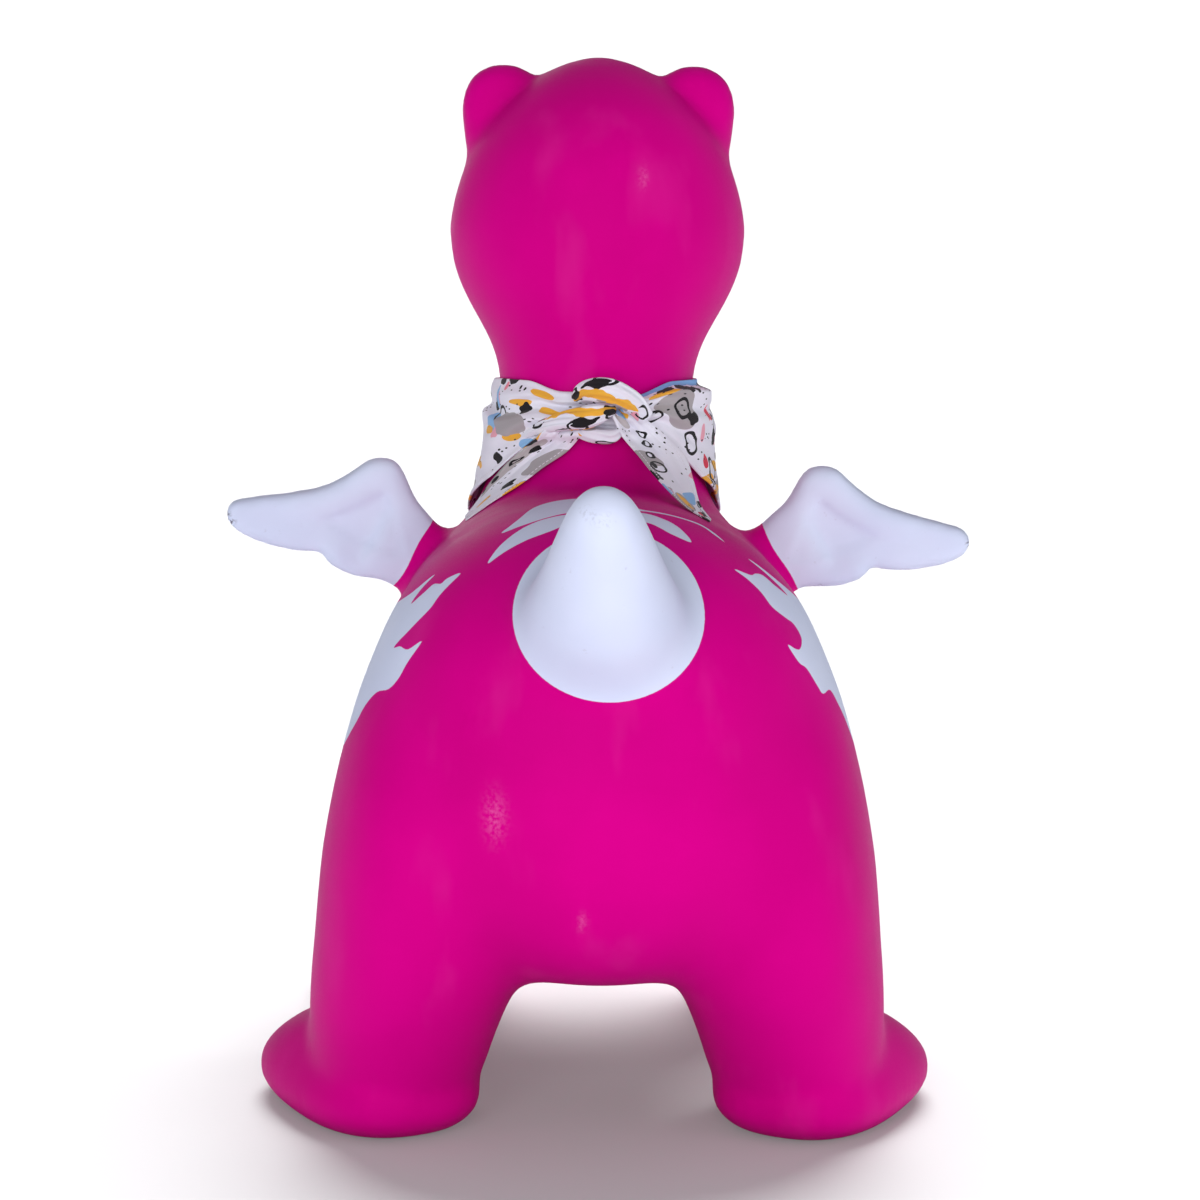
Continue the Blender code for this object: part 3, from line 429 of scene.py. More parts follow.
def skin_softness(points):
    """How many passes soften each point: fewer on wings, ears, feet and tail, more round the tail's base."""
    passes = np.full(len(points), skin_passes)
    x, y, z = points.T
    for side in sides.values():
        by_wing = (y > wing_depth[0]) * (y < wing_depth[1]) * (z > wing_low)
        passes -= fewer_on_wing * (smoothstep(side * x, *wing_begins) * by_wing)
        passes -= fewer_on_ear * smoothstep(side * x, *ear_begins) * smoothstep(z, *ear_rises)
    passes -= fewer_on_foot * smoothstep(-z, -foot_top[0], -foot_top[1])
    at_tail = local_to(tail_frame, points)
    from_axis = np.hypot(at_tail[:, 0], at_tail[:, 1])
    passes -= fewer_on_tail * (smoothstep(at_tail[:, 2], *tail_rises) * (from_axis < 0.08))
    by_tail = 1 - smoothstep(np.abs(at_tail[:, 2]), *by_tail_up)
    return passes + more_by_tail * by_tail * (1 - smoothstep(from_axis, *by_tail_out))


def make_skin():
    """The whole skin as one closed mesh, rounded as an inflated moulding is."""
    bm = bmesh.new()
    torso_head_and_legs(bm)
    trunk = fused(bm, trunk_voxel)
    points, edges = points_of(trunk), edges_of(trunk)
    set_points(trunk, relax(points, edges, np.full(len(points), trunk_passes)))
    bm = bmesh.new()
    bm.from_mesh(trunk)
    move(bm, loft(bm, tail_rings, "Z"), tail_frame)
    for name, side in sides.items():
        loft(bm, mirrored(ear_rings, side), "Z", ear_power)
        move(bm, loft(bm, wing_root_rings, "Z"), frame_at(side, wing_places))
        wing(bm, name)
        foot(bm, side, "rear")
        foot(bm, side, "front")
    skin = fused(bm, skin_voxel)
    points, edges = points_of(skin), edges_of(skin)
    points = relax(points, edges, skin_softness(points))
    for shaped in (shape_wings, raise_cheeks, dent_ears, dent_belly, flatten_soles):
        shaped(points)
    set_points(skin, points)
    return skin


def shape_wings(points):
    """Hollows each wing below its arm, and raises the soft swellings of its lower edge, on both faces."""
    for name, side in sides.items():
        local = local_to(wing_frame(name), points)
        out, across, up = side * local[:, 0], local[:, 1], local[:, 2]
        near = (out > -0.012) & (out < 0.13) & (np.abs(across) < 0.03) & (points[:, 2] > 0.25)
        inside = edge_distance(smooth_loop(wing_hollow, 4), out[near], up[near])
        rise = -hollow_deep * smoothstep(inside, *hollow_edge)
        for (x, z), (wide, high), lifted in wing_swellings:
            rise += lifted * np.exp(-(((out[near] - x) / wide) ** 2) - ((up[near] - z) / high) ** 2)
        points[near, 1] += rise * np.clip(across[near] / 0.004, -1, 1)


def raise_cheeks(points):
    """The soft corner beside each cheek, fuller above than below, that shows in the outline from behind."""
    y, z = cheek_place
    for side in sides.values():
        high = np.where(points[:, 2] > z, cheek_high, cheek_low)
        near = np.exp(-(((points[:, 1] - y) / cheek_long) ** 2) - ((points[:, 2] - z) / high) ** 2)
        points[:, 0] += side * cheek_proud * near * (side * points[:, 0] > 0.06)


def dent_ears(points):
    """A shallow bowl in the front of each ear."""
    x, y, z = ear_bowl_place
    for side in sides.values():
        away = np.linalg.norm((points - (side * x, y, z)) / ear_bowl_size, axis=1)
        front = points[:, 1] > 0.150
        points[front, 1] -= ear_bowl_deep * (1 - smoothstep(away[front], 0.2, 1.0))


def dent_belly(points):
    """The round recess that the valve sits in."""
    x, y, seat = valve_place
    away = np.hypot(points[:, 0] - x, points[:, 1] - y)
    under = (points[:, 2] < belly_top) & (away < 0.03)
    deep = 1 - smoothstep(away[under], *recess_edge)
    points[under, 2] += (seat + recess_lip - points[under, 2]) * deep


def flatten_soles(points):
    """Lays the soles flat on the floor, with a soft edge."""
    low = points[:, 2] < 0.03
    points[low, 2] = sole_blur * np.logaddexp(0, points[low, 2] / sole_blur)


# sprayed paint: signed distances in metres to the edges of the white and the dark places, positive inside


def edge_distance(loop, across, up):
    """The signed distance from points to a closed outline, positive inside."""
    a = np.asarray(loop, float)
    b = np.roll(a, -1, 0)
    inside = np.zeros(len(across), bool)
    nearest = np.full(len(across), 1e9)
    for (ax, ay), (bx, by) in zip(a, b):
        if ay != by:
            crosses = (ay > up) != (by > up)
            inside ^= crosses & (across < (bx - ax) * (up - ay) / (by - ay) + ax)
        length = max((bx - ax) ** 2 + (by - ay) ** 2, 1e-12)
        t = np.clip(((across - ax) * (bx - ax) + (up - ay) * (by - ay)) / length, 0, 1)
        nearest = np.minimum(nearest, np.hypot(across - ax - t * (bx - ax), up - ay - t * (by - ay)))
    return np.where(inside, nearest, -nearest)


# Two brushed crescents across the back, seen from above in millimetres.
crescents = (
    (
        (-54, -110), (-48.5, -101), (-43, -88), (-36.5, -62), (-30, -46), (-22, -38), (-10, -38),
        (3, -52), (14, -72), (21, -87), (32, -87.5), (44, -88), (55, -90), (66.5, -105.5), (60, -100),
        (54, -92.6), (44, -90.8), (32, -90.6), (21, -92), (5, -97), (-15, -99.5), (-23, -100.7),
        (-35, -106), (-44, -108.6),
    ),
    (
        (-61, -137.8), (-56.8, -129), (-51.3, -121.8), (-40.9, -111.5), (-28.9, -105), (-16.8, -102),
        (0, -99), (15, -97), (24.9, -97), (31.6, -101.2), (40.4, -110.1), (47.5, -126), (37, -123.5),
        (30.8, -118.5), (24, -114), (10, -112.5), (-8, -116), (-20.7, -120.8), (-28.9, -125.6),
        (-40.9, -129.6), (-52.7, -134.4),
    ),
)
# The flame-edged white on each flank, seen from the side in millimetres: forward, and up. Its tongues are
# alike on both flanks, a little higher on the right, and its rear edges differ.
flame_tongues = (
    (-99, 198), (-108, 186), (-84, 190), (-52, 186), (-60, 176), (-66, 166), (-36, 172), (-6, 182),
    (-14, 194), (8, 192), (32, 202), (22, 211), (44, 216), (64, 232), (78, 252), (58, 246), (34, 250),
    (6, 260), (-26, 271),
)
right_tongues_higher = 1
flank_flames = {
    "left": (
        (-111, 307), (-112.3, 299), (-115, 291.5), (-119.6, 298.4), (-121.2, 303.5), (-127.3, 305),
        (-127.5, 308), (-132.5, 311.5), (-136, 300.5), (-138.5, 292.8), (-134.7, 281.2),
        (-128.6, 270.6), (-135.1, 272.3), (-144.4, 272.6), (-151, 278.4), (-149.6, 265.7),
        (-149.2, 258), (-145.7, 251.3), (-136.1, 247.4), (-129.8, 238.5), (-125.7, 227), (-112, 214),
        (-90, 206), *flame_tongues, (-58, 280), (-86, 288), (-103, 296),
    ),
    "right": (
        (-108.5, 316.5), (-109.2, 307), (-107.2, 296), (-113.7, 302.5), (-115.7, 308.6),
        (-121.6, 310.6), (-127.2, 310.9), (-132.5, 315), (-133.2, 309.9), (-134.5, 303.1),
        (-137.2, 295.5), (-133, 289), (-128.8, 284.7), (-129.5, 277.5), (-137.7, 273.2), (-142.8, 274),
        (-147.5, 277), (-146.3, 267.6), (-141.6, 262.9), (-139.5, 252.6), (-137.7, 248.6),
        (-125.6, 248), (-121.5, 237), (-112, 218), (-90, 208),
        *[(y, z + right_tongues_higher) for y, z in flame_tongues], (-58, 282), (-86, 292), (-102, 303),
    ),
}
# The round white place under the tail, as seen along the photograph's view: lean, middle and half sizes.
round_place_lean = math.radians(11)
round_place_middle, round_place_half, round_place_reach = (0.0028, 0.2643), (0.0503, 0.0455), 0.0480
# What counts as far outside an edge, how far round a shape its distances hold, and where the tail turns white.
outside, paint_reach, tail_white_from = 0.05, 0.006, 0.035
wing_wave_high, wing_waves = 0.0007, 160
# The painted face, seen from the front in millimetres: eyes, rims, pupils, sparks and nostrils.
eye_place, eye_size, eye_turn_deg, rim_wide, pupil_size = (29.0, 502.0), (10.0, 13.5), -8, 1.1, (6.8, 9.8)
pupil_shift, spark_shift, spark_size = (-1.5, -1.5), (2.4, 3.6), (2.2, 2.8)
nostril_place, nostril_size, nostril_turn_deg = (13.0, 468.0), (2.6, 3.6), 20
# The line of the mouth in metres: height, rise to the sides, half width of the line and half length.
mouth_height, mouth_rise, mouth_line, mouth_half = 0.4400, 3.2, 0.0009, 0.036
face_front = 0.17


def oval(place, size, turn_deg=0):
    """An oval outline in millimetres."""
    angles = np.linspace(0, 2 * math.pi, 48, endpoint=False)
    c, s = math.cos(math.radians(turn_deg)), math.sin(math.radians(turn_deg))
    x, z = size[0] * np.cos(angles), size[1] * np.sin(angles)
    return np.stack([place[0] + x * c - z * s, place[1] + x * s + z * c], 1)


def face_shapes():
    """Eye, rim, pupil, spark and nostril of each side, seen from the front in millimetres."""
    for side in sides.values():
        x, z = side * eye_place[0], eye_place[1]
        inward = x + side * pupil_shift[0]
        turn_deg = side * eye_turn_deg
        yield (
            oval((x, z), eye_size, turn_deg),
            oval((x, z), [size + rim_wide for size in eye_size], turn_deg),
            oval((inward, z + pupil_shift[1]), pupil_size, turn_deg),
            oval((inward + spark_shift[0], z + spark_shift[1]), spark_size),
            oval((side * nostril_place[0], nostril_place[1]), nostril_size, side * nostril_turn_deg),
        )


def join_shape(values, points, where, loop_mm, first, second):
    """Adds a shape, drawn in two of the directions, to a signed distance at the points where it may show."""
    loop = smooth_loop(loop_mm, 4) / 1000
    where = where.copy()
    for axis, column in ((first, 0), (second, 1)):
        low, high = loop[:, column].min() - paint_reach, loop[:, column].max() + paint_reach
        where &= (points[:, axis] > low) & (points[:, axis] < high)
    found = edge_distance(loop, points[where, first], points[where, second])
    values[where] = np.maximum(values[where], found)


def cut_shape(values, points, where, loop_mm, first, second):
    """Takes a shape away from a signed distance at the points where it may show."""
    within = np.full(len(points), -outside)
    join_shape(within, points, where, loop_mm, first, second)
    np.minimum(values, -within, out=values)


def white_edge(points):
    """Signed distance to the edge of the white: wings, tail, the place under it, crescents, flanks, eyes."""
    x, y, z = points.T
    (middle_x, middle_z), (half_x, half_z) = round_place_middle, round_place_half
    level = (z - middle_z) * math.cos(round_place_lean) + y * math.sin(round_place_lean)
    round_place = round_place_reach * (1 - np.hypot((x - middle_x) / half_x, level / half_z))
    round_place[(y > -0.09) | (z < 0.18)] = -outside
    at_tail = local_to(tail_frame, points)
    on_tail = (at_tail[:, 2] > tail_white_from) & (np.hypot(at_tail[:, 0], at_tail[:, 1]) < tail_reach)
    white = np.where(on_tail, outside, round_place)
    for loop in crescents:
        join_shape(white, points, (z > 0.26) & (y < 0.0), loop, 0, 1)
    for name, side in sides.items():
        join_shape(white, points, (side * x > 0.055) & (y < 0.09), flank_flames[name], 1, 2)
        root = local_to(frame_at(side, wing_places), points)
        near = (np.hypot(root[:, 0], root[:, 1]) < 0.2) & (root[:, 2] > -0.02) & (side * x > wing_from)
        near &= (y > wing_depth[0]) & (y < wing_depth[1])
        beyond = root[:, 2] - wing_soft[1] - wing_wave_high * np.sin(wing_waves * root[:, 0])
        white = np.where(near, np.maximum(white, beyond), white)
    front = y > face_front
    for eye, _, pupil, spark, _ in face_shapes():
        join_shape(white, points, front, eye, 0, 2)
        cut_shape(white, points, front, pupil, 0, 2)
        join_shape(white, points, front, spark, 0, 2)
    return white


def dark_edge(points):
    """Signed distance to the edge of the dark places: rims of the eyes, pupils, nostrils and mouth."""
    dark = np.full(len(points), -outside)
    x, y, z = points.T
    front = y > face_front
    for eye, rim, pupil, spark, nostril in face_shapes():
        join_shape(dark, points, front, rim, 0, 2)
        cut_shape(dark, points, front, eye, 0, 2)
        join_shape(dark, points, front, pupil, 0, 2)
        cut_shape(dark, points, front, spark, 0, 2)
        join_shape(dark, points, front, nostril, 0, 2)
    smile = mouth_height + mouth_rise * x * x
    mouth = mouth_line - np.abs(z - smile) - 4 * np.clip(np.abs(x) - mouth_half, 0, 1)
    return np.where(front, np.maximum(dark, mouth), dark)


# Where the paint is rubbed through to the dark: places on the wings, as out and up, and how high on the tail.
worn_on_wing = {
    "left": ((0.1095, 0.0165), (0.1065, 0.0130)),
    "right": ((0.1095, 0.0175), (0.0240, -0.0140), (0.0110, -0.0170), (0.0170, -0.0160)),
}
chip_reach, tail_worn_at, tail_worn_reach, tail_worn_share = 0.0032, 0.1160, 0.004, 0.27
# Pale rub marks on the pink: x, y, z and how far each reaches. They are drawn out upwards.
pale_rubs = (
    (0.0245, 0.0560, 0.5050, 0.0024),
    (-0.0100, -0.2080, 0.1400, 0.0020),
    (-0.0560, -0.1900, 0.1960, 0.0050),
)
rub_upright = 0.45


def worn(points):
    """How strongly the paint is worn to the dark, and how strongly it is rubbed pale."""
    dark, pale = np.zeros(len(points)), np.zeros(len(points))
    for name, side in sides.items():
        local = local_to(wing_frame(name), points)
        on_wing = (points[:, 2] > 0.25) & (np.abs(local[:, 1]) < 0.025)
        for out, up in worn_on_wing[name]:
            away = np.hypot(side * local[:, 0] - out, local[:, 2] - up)
            dark = np.maximum(dark, np.exp(-((away / chip_reach) ** 2)) * on_wing)
    across, back, up = local_to(tail_frame, points).T
    high_on_tail = np.exp(-(((up - tail_worn_at) / tail_worn_reach) ** 2)) * (across < 0.002)
    dark = np.maximum(dark, tail_worn_share * high_on_tail * (back < 0))
    for x, y, z, reach in pale_rubs:
        away = np.hypot((points[:, 0] - x), rub_upright * (points[:, 2] - z))
        pale = np.maximum(pale, np.exp(-((away / reach) ** 2)) * (np.abs(points[:, 1] - y) < 0.05))
    return dark, pale


# cutting the finished skin into its pieces


def skin_regions(middles):
    """Which piece each face of the skin belongs to, by the middle of the face."""
    region = np.full(len(middles), "torso_skin", dtype="U32")
    height = middles[:, 2]
    seam = local_to(neck_seam, middles)
    region[(seam[:, 2] > 0) & (seam[:, 1] > -0.088) & (height > 0.27)] = "neck_skin"
    region[height > neck_top_height] = "head_skin"
    at_tail = local_to(tail_frame, middles)
    on_tail = (np.hypot(at_tail[:, 0], at_tail[:, 1]) < tail_reach) & (at_tail[:, 2] > tail_soft[0])
    region[on_tail] = "tail_skin"
    for name, side in sides.items():
        ear = local_to(frame_at(side, ear_places), middles)
        oval_share = np.hypot(ear[:, 0] / ear_region[0], ear[:, 1] / ear_region[1])
        region[(oval_share < 1) & (ear[:, 2] > ear_soft[0])] = f"ear_skin_{name}"
        root = local_to(frame_at(side, wing_places), middles)
        on_wing = (np.abs(root[:, 0]) < 0.12) & (np.abs(root[:, 1]) < 0.03) & (root[:, 2] > wing_soft[0])
        on_wing &= (side * middles[:, 0] > wing_from) & (height > wing_low)
        region[on_wing] = f"wing_skin_{name}"
        for end, (x, y, _, _) in foot_places.items():
            apart = np.maximum(np.abs(middles[:, 0] - side * x), np.abs(middles[:, 1] - y))
            region[(apart < foot_reach) & (height < ankle_heights[1])] = f"foot_skin_{end}_{name}"
    return region


split_reaches = (0.0034, 0.0017)


def finer_at_edges(bm):
    """Splits the faces that a paint edge crosses, so that the edge is clean."""
    bm.verts.ensure_lookup_table()
    for reach in split_reaches:
        points = np.array([vert.co for vert in bm.verts])
        near = np.minimum(np.abs(white_edge(points)), np.abs(dark_edge(points))) < reach
        marked = [face for face in bm.faces if any(near[vert.index] for vert in face.verts)]
        edges = list({edge for face in marked for edge in face.edges})
        bmesh.ops.subdivide_edges(bm, edges=edges, cuts=1, use_grid_fill=True)
        bm.verts.index_update()
        bm.verts.ensure_lookup_table()


def cut_skin(skin, material):
    """The skin's pieces by name. Their normals come from the whole skin, so no seam shows between them."""
    bm = bmesh.new()
    bm.from_mesh(skin)
    x, y, _ = valve_place
    middles = ((face, face.calc_center_median()) for face in bm.faces)
    hole = [face for face, at in middles if math.hypot(at.x - x, at.y - y) < valve_hole and at.z < belly_top]
    bmesh.ops.delete(bm, geom=hole, context="FACES")
    finer_at_edges(bm)
    bmesh.ops.recalc_face_normals(bm, faces=bm.faces)
    bm.normal_update()
    points = np.array([vert.co for vert in bm.verts])
    normals = np.array([vert.normal for vert in bm.verts])
    layers = {"white_edge": white_edge(points), "dark_edge": dark_edge(points)}
    layers["worn_dark"], layers["worn_pale"] = worn(points)
    faces = [[vert.index for vert in face.verts] for face in bm.faces]
    middles = np.array([face.calc_center_median() for face in bm.faces])
    bm.free()
    region = skin_regions(middles)
    pieces = {}
    for name in np.unique(region):
        mine = [faces[i] for i in np.nonzero(region == name)[0]]
        used = np.unique(np.concatenate([np.array(face) for face in mine]))
        place = np.full(len(points), -1)
        place[used] = np.arange(len(used))
        mesh = bpy.data.meshes.new(str(name))
        mesh.from_pydata(points[used].tolist(), [], [place[face].tolist() for face in mine])
        for key, values in layers.items():
            layer = mesh.attributes.new(key, "FLOAT", "POINT")
            layer.data.foreach_set("value", values[used].astype(np.float32))
        shade_smooth(mesh)
        mesh.normals_split_custom_set_from_vertices(normals[used].tolist())
        pieces[str(name)] = shown(str(name), mesh, material)
    return pieces


# finishes


def linear(code):
    """An sRGB hex colour as linear values with alpha."""
    values = [int(code[i : i + 2], 16) / 255 for i in (1, 3, 5)]
    return (*[v / 12.92 if v <= 0.04045 else ((v + 0.055) / 1.055) ** 2.4 for v in values], 1)


def feed(tree, node, inputs):
    """Sets a node's inputs, each to a value, or to the socket that feeds it."""
    for key, value in inputs.items():
        if isinstance(value, bpy.types.NodeSocket):
            tree.links.new(value, node.inputs[key])
        else:
            node.inputs[key].default_value = value


def add(tree, kind, inputs=None, **settings):
    """Adds a node with its settings and inputs, and gives its outputs."""
    made = tree.nodes.new(kind)
    for key, value in settings.items():
        setattr(made, key, value)
    feed(tree, made, inputs or {})
    return made.outputs


def new_finish(name):
    material = bpy.data.materials.new(name)
    material.use_nodes = True
    tree = material.node_tree
    return material, tree, tree.nodes["Principled BSDF"]


def sprayed_skin():
    """Soft PVC, rotationally moulded and sprayed in magenta and white: an even satin with a fine orange peel,
    faint cloudy shifts of the colour, upright pale scuffs, and small chips where the edges are rubbed."""
    scuff_wide, scuff_high, edge_blur, rag, film = 0.0420, 0.1300, 0.00015, 0.00015, 0.35
    material, tree, shader = new_finish("soft_pvc_sprayed_satin")
    here = add(tree, "ShaderNodeTexCoord")["Object"]
    noise = {}
    for name, size, detail in (
        ("peel", 0.0011, 2),
        ("grit", 0.0020, 4),
        ("dust", 0.0042, 3),
        ("cloud", 0.1100, 3),
        ("ragged", 0.0017, 2),
    ):
        inputs = {"Vector": here, "Scale": 1 / size, "Detail": detail}
        noise[name] = add(tree, "ShaderNodeTexNoise", inputs)[0]
    squeezed = {0: here, 3: (1 / scuff_wide, 1 / scuff_wide, 1 / scuff_high)}
    scuff_place = add(tree, "ShaderNodeMapping", squeezed)[0]
    scuff = add(tree, "ShaderNodeTexNoise", {"Vector": scuff_place, "Scale": 1.0, "Detail": 4})[0]
    wobble = add(tree, "ShaderNodeMapRange", {0: noise["ragged"], 3: -rag, 4: rag})[0]
    painted = {}
    for key in ("white_edge", "dark_edge"):
        edge = add(tree, "ShaderNodeAttribute", attribute_name=key)["Fac"]
        moved = add(tree, "ShaderNodeMath", {0: edge, 1: wobble}, operation="ADD")[0]
        painted[key] = add(tree, "ShaderNodeMapRange", {0: moved, 1: -edge_blur, 2: edge_blur})[0]
    cloudy = add(tree, "ShaderNodeMapRange", {0: noise["cloud"], 1: 0.35, 2: 0.65})[0]
    scuffed = add(tree, "ShaderNodeMapRange", {0: scuff, 1: 0.56, 2: 0.80, 4: 0.36})[0]
    dusty = add(tree, "ShaderNodeMapRange", {0: noise["dust"], 1: 0.70, 2: 0.78, 4: 0.20})[0]
    rubbed = add(tree, "ShaderNodeAttribute", attribute_name="worn_pale")["Fac"]
    rub_grain = add(tree, "ShaderNodeMapRange", {0: noise["grit"], 1: 0.38, 2: 0.62, 4: 0.30})[0]
    lighter = add(tree, "ShaderNodeMath", {0: rubbed, 1: rub_grain}, operation="MULTIPLY")[0]
    bare = add(tree, "ShaderNodeAttribute", attribute_name="worn_dark")["Fac"]
    worn_there = add(tree, "ShaderNodeMapRange", {0: bare, 1: 0.15, 2: 0.75})[0]
    chip_grain = add(tree, "ShaderNodeMapRange", {0: noise["grit"], 1: 0.50, 2: 0.60, 4: 0.85})[0]
    chips = add(tree, "ShaderNodeMath", {0: worn_there, 1: chip_grain}, operation="MULTIPLY")[0]
    layers = {}
    for name, under, coats in (
        ("pink", "#C8007E", ((cloudy, "#D20086"), (scuffed, "#D83494"), (lighter, "#EC84BE"))),
        ("white", "#CDD5EE", ((cloudy, "#D8DFF5"), (dusty, "#9A94A4"), (chips, "#57505E"))),
    ):
        colour = linear(under)
        for share, over in coats:
            inputs = {0: share, 6: colour, 7: linear(over)}
            colour = add(tree, "ShaderNodeMix", inputs, data_type="RGBA")[2]
        layers[name] = colour
    inputs = {0: painted["white_edge"], 6: layers["pink"], 7: layers["white"]}
    colour = add(tree, "ShaderNodeMix", inputs, data_type="RGBA")[2]
    inputs = {0: painted["dark_edge"], 6: colour, 7: linear("#1C1218")}
    colour = add(tree, "ShaderNodeMix", inputs, data_type="RGBA")[2]
    dulled = add(tree, "ShaderNodeMapRange", {0: scuff, 1: 0.45, 2: 0.75, 3: 0.0, 4: 0.10})[0]
    satin = add(tree, "ShaderNodeMapRange", {0: noise["peel"], 1: 0.3, 2: 0.7, 3: 0.42, 4: 0.52})[0]
    rough = add(tree, "ShaderNodeMath", {0: satin, 1: dulled}, operation="ADD")[0]
    coat = add(tree, "ShaderNodeMath", {0: painted["white_edge"], 1: film}, operation="MULTIPLY")[0]
    inputs = {0: noise["peel"], 1: 0.5, 2: coat}
    height = add(tree, "ShaderNodeMath", inputs, operation="MULTIPLY_ADD")[0]
    bump = add(tree, "ShaderNodeBump", {"Strength": 0.10, "Distance": 0.0003, "Height": height})[0]
    feed(tree, shader, {"Base Color": colour, "Roughness": rough, "Normal": bump})
    feed(tree, shader, {"IOR": 1.50, "Specular IOR Level": 0.05, "Specular Tint": linear("#FF7AC6")})
    return material


def valve_plastic():
    """Soft white polythene, injection moulded: a waxy matt white with a barely seen grain."""
    grain_size = 0.0014
    material, tree, shader = new_finish("polythene_moulded_white")
    here = add(tree, "ShaderNodeTexCoord")["Object"]
    grain = add(tree, "ShaderNodeTexNoise", {"Vector": here, "Scale": 1 / grain_size, "Detail": 2.0})[0]
    inputs = {0: grain, 6: linear("#DAD9DC"), 7: linear("#E8E7EA")}
    colour = add(tree, "ShaderNodeMix", inputs, data_type="RGBA")[2]
    rough = add(tree, "ShaderNodeMapRange", {0: grain, 1: 0.3, 2: 0.7, 3: 0.38, 4: 0.50})[0]
    bump = add(tree, "ShaderNodeBump", {"Strength": 0.15, "Distance": 0.0002, "Height": grain})[0]
    feed(tree, shader, {"Base Color": colour, "Roughness": rough, "Normal": bump})
    return material


# The print: for each ink its colour, the spacing of its shapes in metres, their reach as a share of that, how
# many of the places are filled, how far the shapes are pushed out of round, how long they are, and a shift.
inks = (
    ("grey", "#ABA5A9", 0.0400, 0.42, 0.50, 0.60, 1.0, (3.1, 0.7, 0.0)),
    ("rose", "#EFA6B8", 0.0250, 0.24, 0.12, 0.40, 1.0, (9.4, 4.8, 0.0)),
    ("blue", "#8DBBE8", 0.0300, 0.34, 0.14, 0.60, 1.4, (5.0, 6.4, 0.0)),
    ("amber", "#F0B23C", 0.0320, 0.34, 0.20, 0.30, 3.0, (2.2, 8.1, 0.0)),
    ("red", "#DD3550", 0.0210, 0.22, 0.10, 0.35, 1.0, (6.6, 1.9, 0.0)),
    ("black", "#1B191D", 0.0170, 0.34, 0.30, 0.75, 1.3, (7.9, 5.3, 0.0)),
    ("rings", "#1B191D", 0.0210, 0.38, 0.20, 0.22, 1.0, (1.7, 9.2, 0.0)),
    ("seeds", "#1B191D", 0.0054, 0.25, 0.24, 0.15, 2.2, (4.4, 2.6, 0.0)),
)
# Single shapes of the print and of painted shade, laid out one by one: middle and half sizes on the cloth in
# metres, turn and colour.
set_shapes = (
    ((-0.165, 0.0010), (0.0400, 0.0034), 0, "#7FB0E6"),
    ((-0.166, 0.0080), (0.0060, 0.0042), 8, "#1B191D"),
    ((-0.161, 0.0105), (0.0040, 0.0040), -20, "#1B191D"),
    ((-0.132, 0.0070), (0.0070, 0.0050), 30, "#1B191D"),
    ((-0.134, 0.0270), (0.0020, 0.0056), 0, "#DD3550"),
    ((0.160, 0.0300), (0.0170, 0.0085), 10, "#ABA5A9"),
    ((0.138, 0.0120), (0.0034, 0.0070), 0, "#8DBBE8"),
    ((0.151, 0.0050), (0.0022, 0.0026), 0, "#EE8DA0"),
    ((0.168, 0.0050), (0.0010, 0.0011), 0, "#1B191D"),
    ((0.173, 0.0060), (0.0010, 0.0011), 0, "#1B191D"),
    ((0.215, 0.3125), (0.0160, 0.0030), 12, "#F0B23C"),
    ((0.236, 0.3160), (0.0110, 0.0026), -10, "#F0B23C"),
    ((0.205, 0.3080), (0.0060, 0.0030), 20, "#1B191D"),
    # Painted shade: this long grey band, and the grey in the hole of the motif on it, stand for the shaded
    # inner side of the left end's fold; the black motifs on it are print.
    ((0.538, 0.5060), (0.0300, 0.0052), 2, "#B9B2B4"),
    ((0.520, 0.5080), (0.0042, 0.0026), 20, "#1B191D"),
    ((0.531, 0.5065), (0.0046, 0.0030), -12, "#1B191D"),
    ((0.531, 0.5065), (0.0022, 0.0010), -12, "#B9B2B4"),
    ((0.549, 0.5060), (0.0040, 0.0024), 10, "#1B191D"),
    ((0.561, 0.5040), (0.0026, 0.0018), 0, "#1B191D"),
    ((0.712, 0.5050), (0.0090, 0.0030), 20, "#B9B2B4"),
    ((0.728, 0.5150), (0.0048, 0.0036), 25, "#1B191D"),
    ((0.728, 0.5150), (0.0028, 0.0018), 25, "#ECEBF6"),
    ((0.741, 0.5140), (0.0056, 0.0034), -15, "#1B191D"),
    ((0.741, 0.5140), (0.0036, 0.0016), -15, "#ECEBF6"),
    ((0.756, 0.5100), (0.0050, 0.0034), 12, "#1B191D"),
    ((0.756, 0.5100), (0.0028, 0.0015), 12, "#ECEBF6"),
    ((0.768, 0.5065), (0.0034, 0.0022), 0, "#1B191D"),
    ((0.783, 0.5030), (0.0024, 0.0016), 0, "#1B191D"),
)


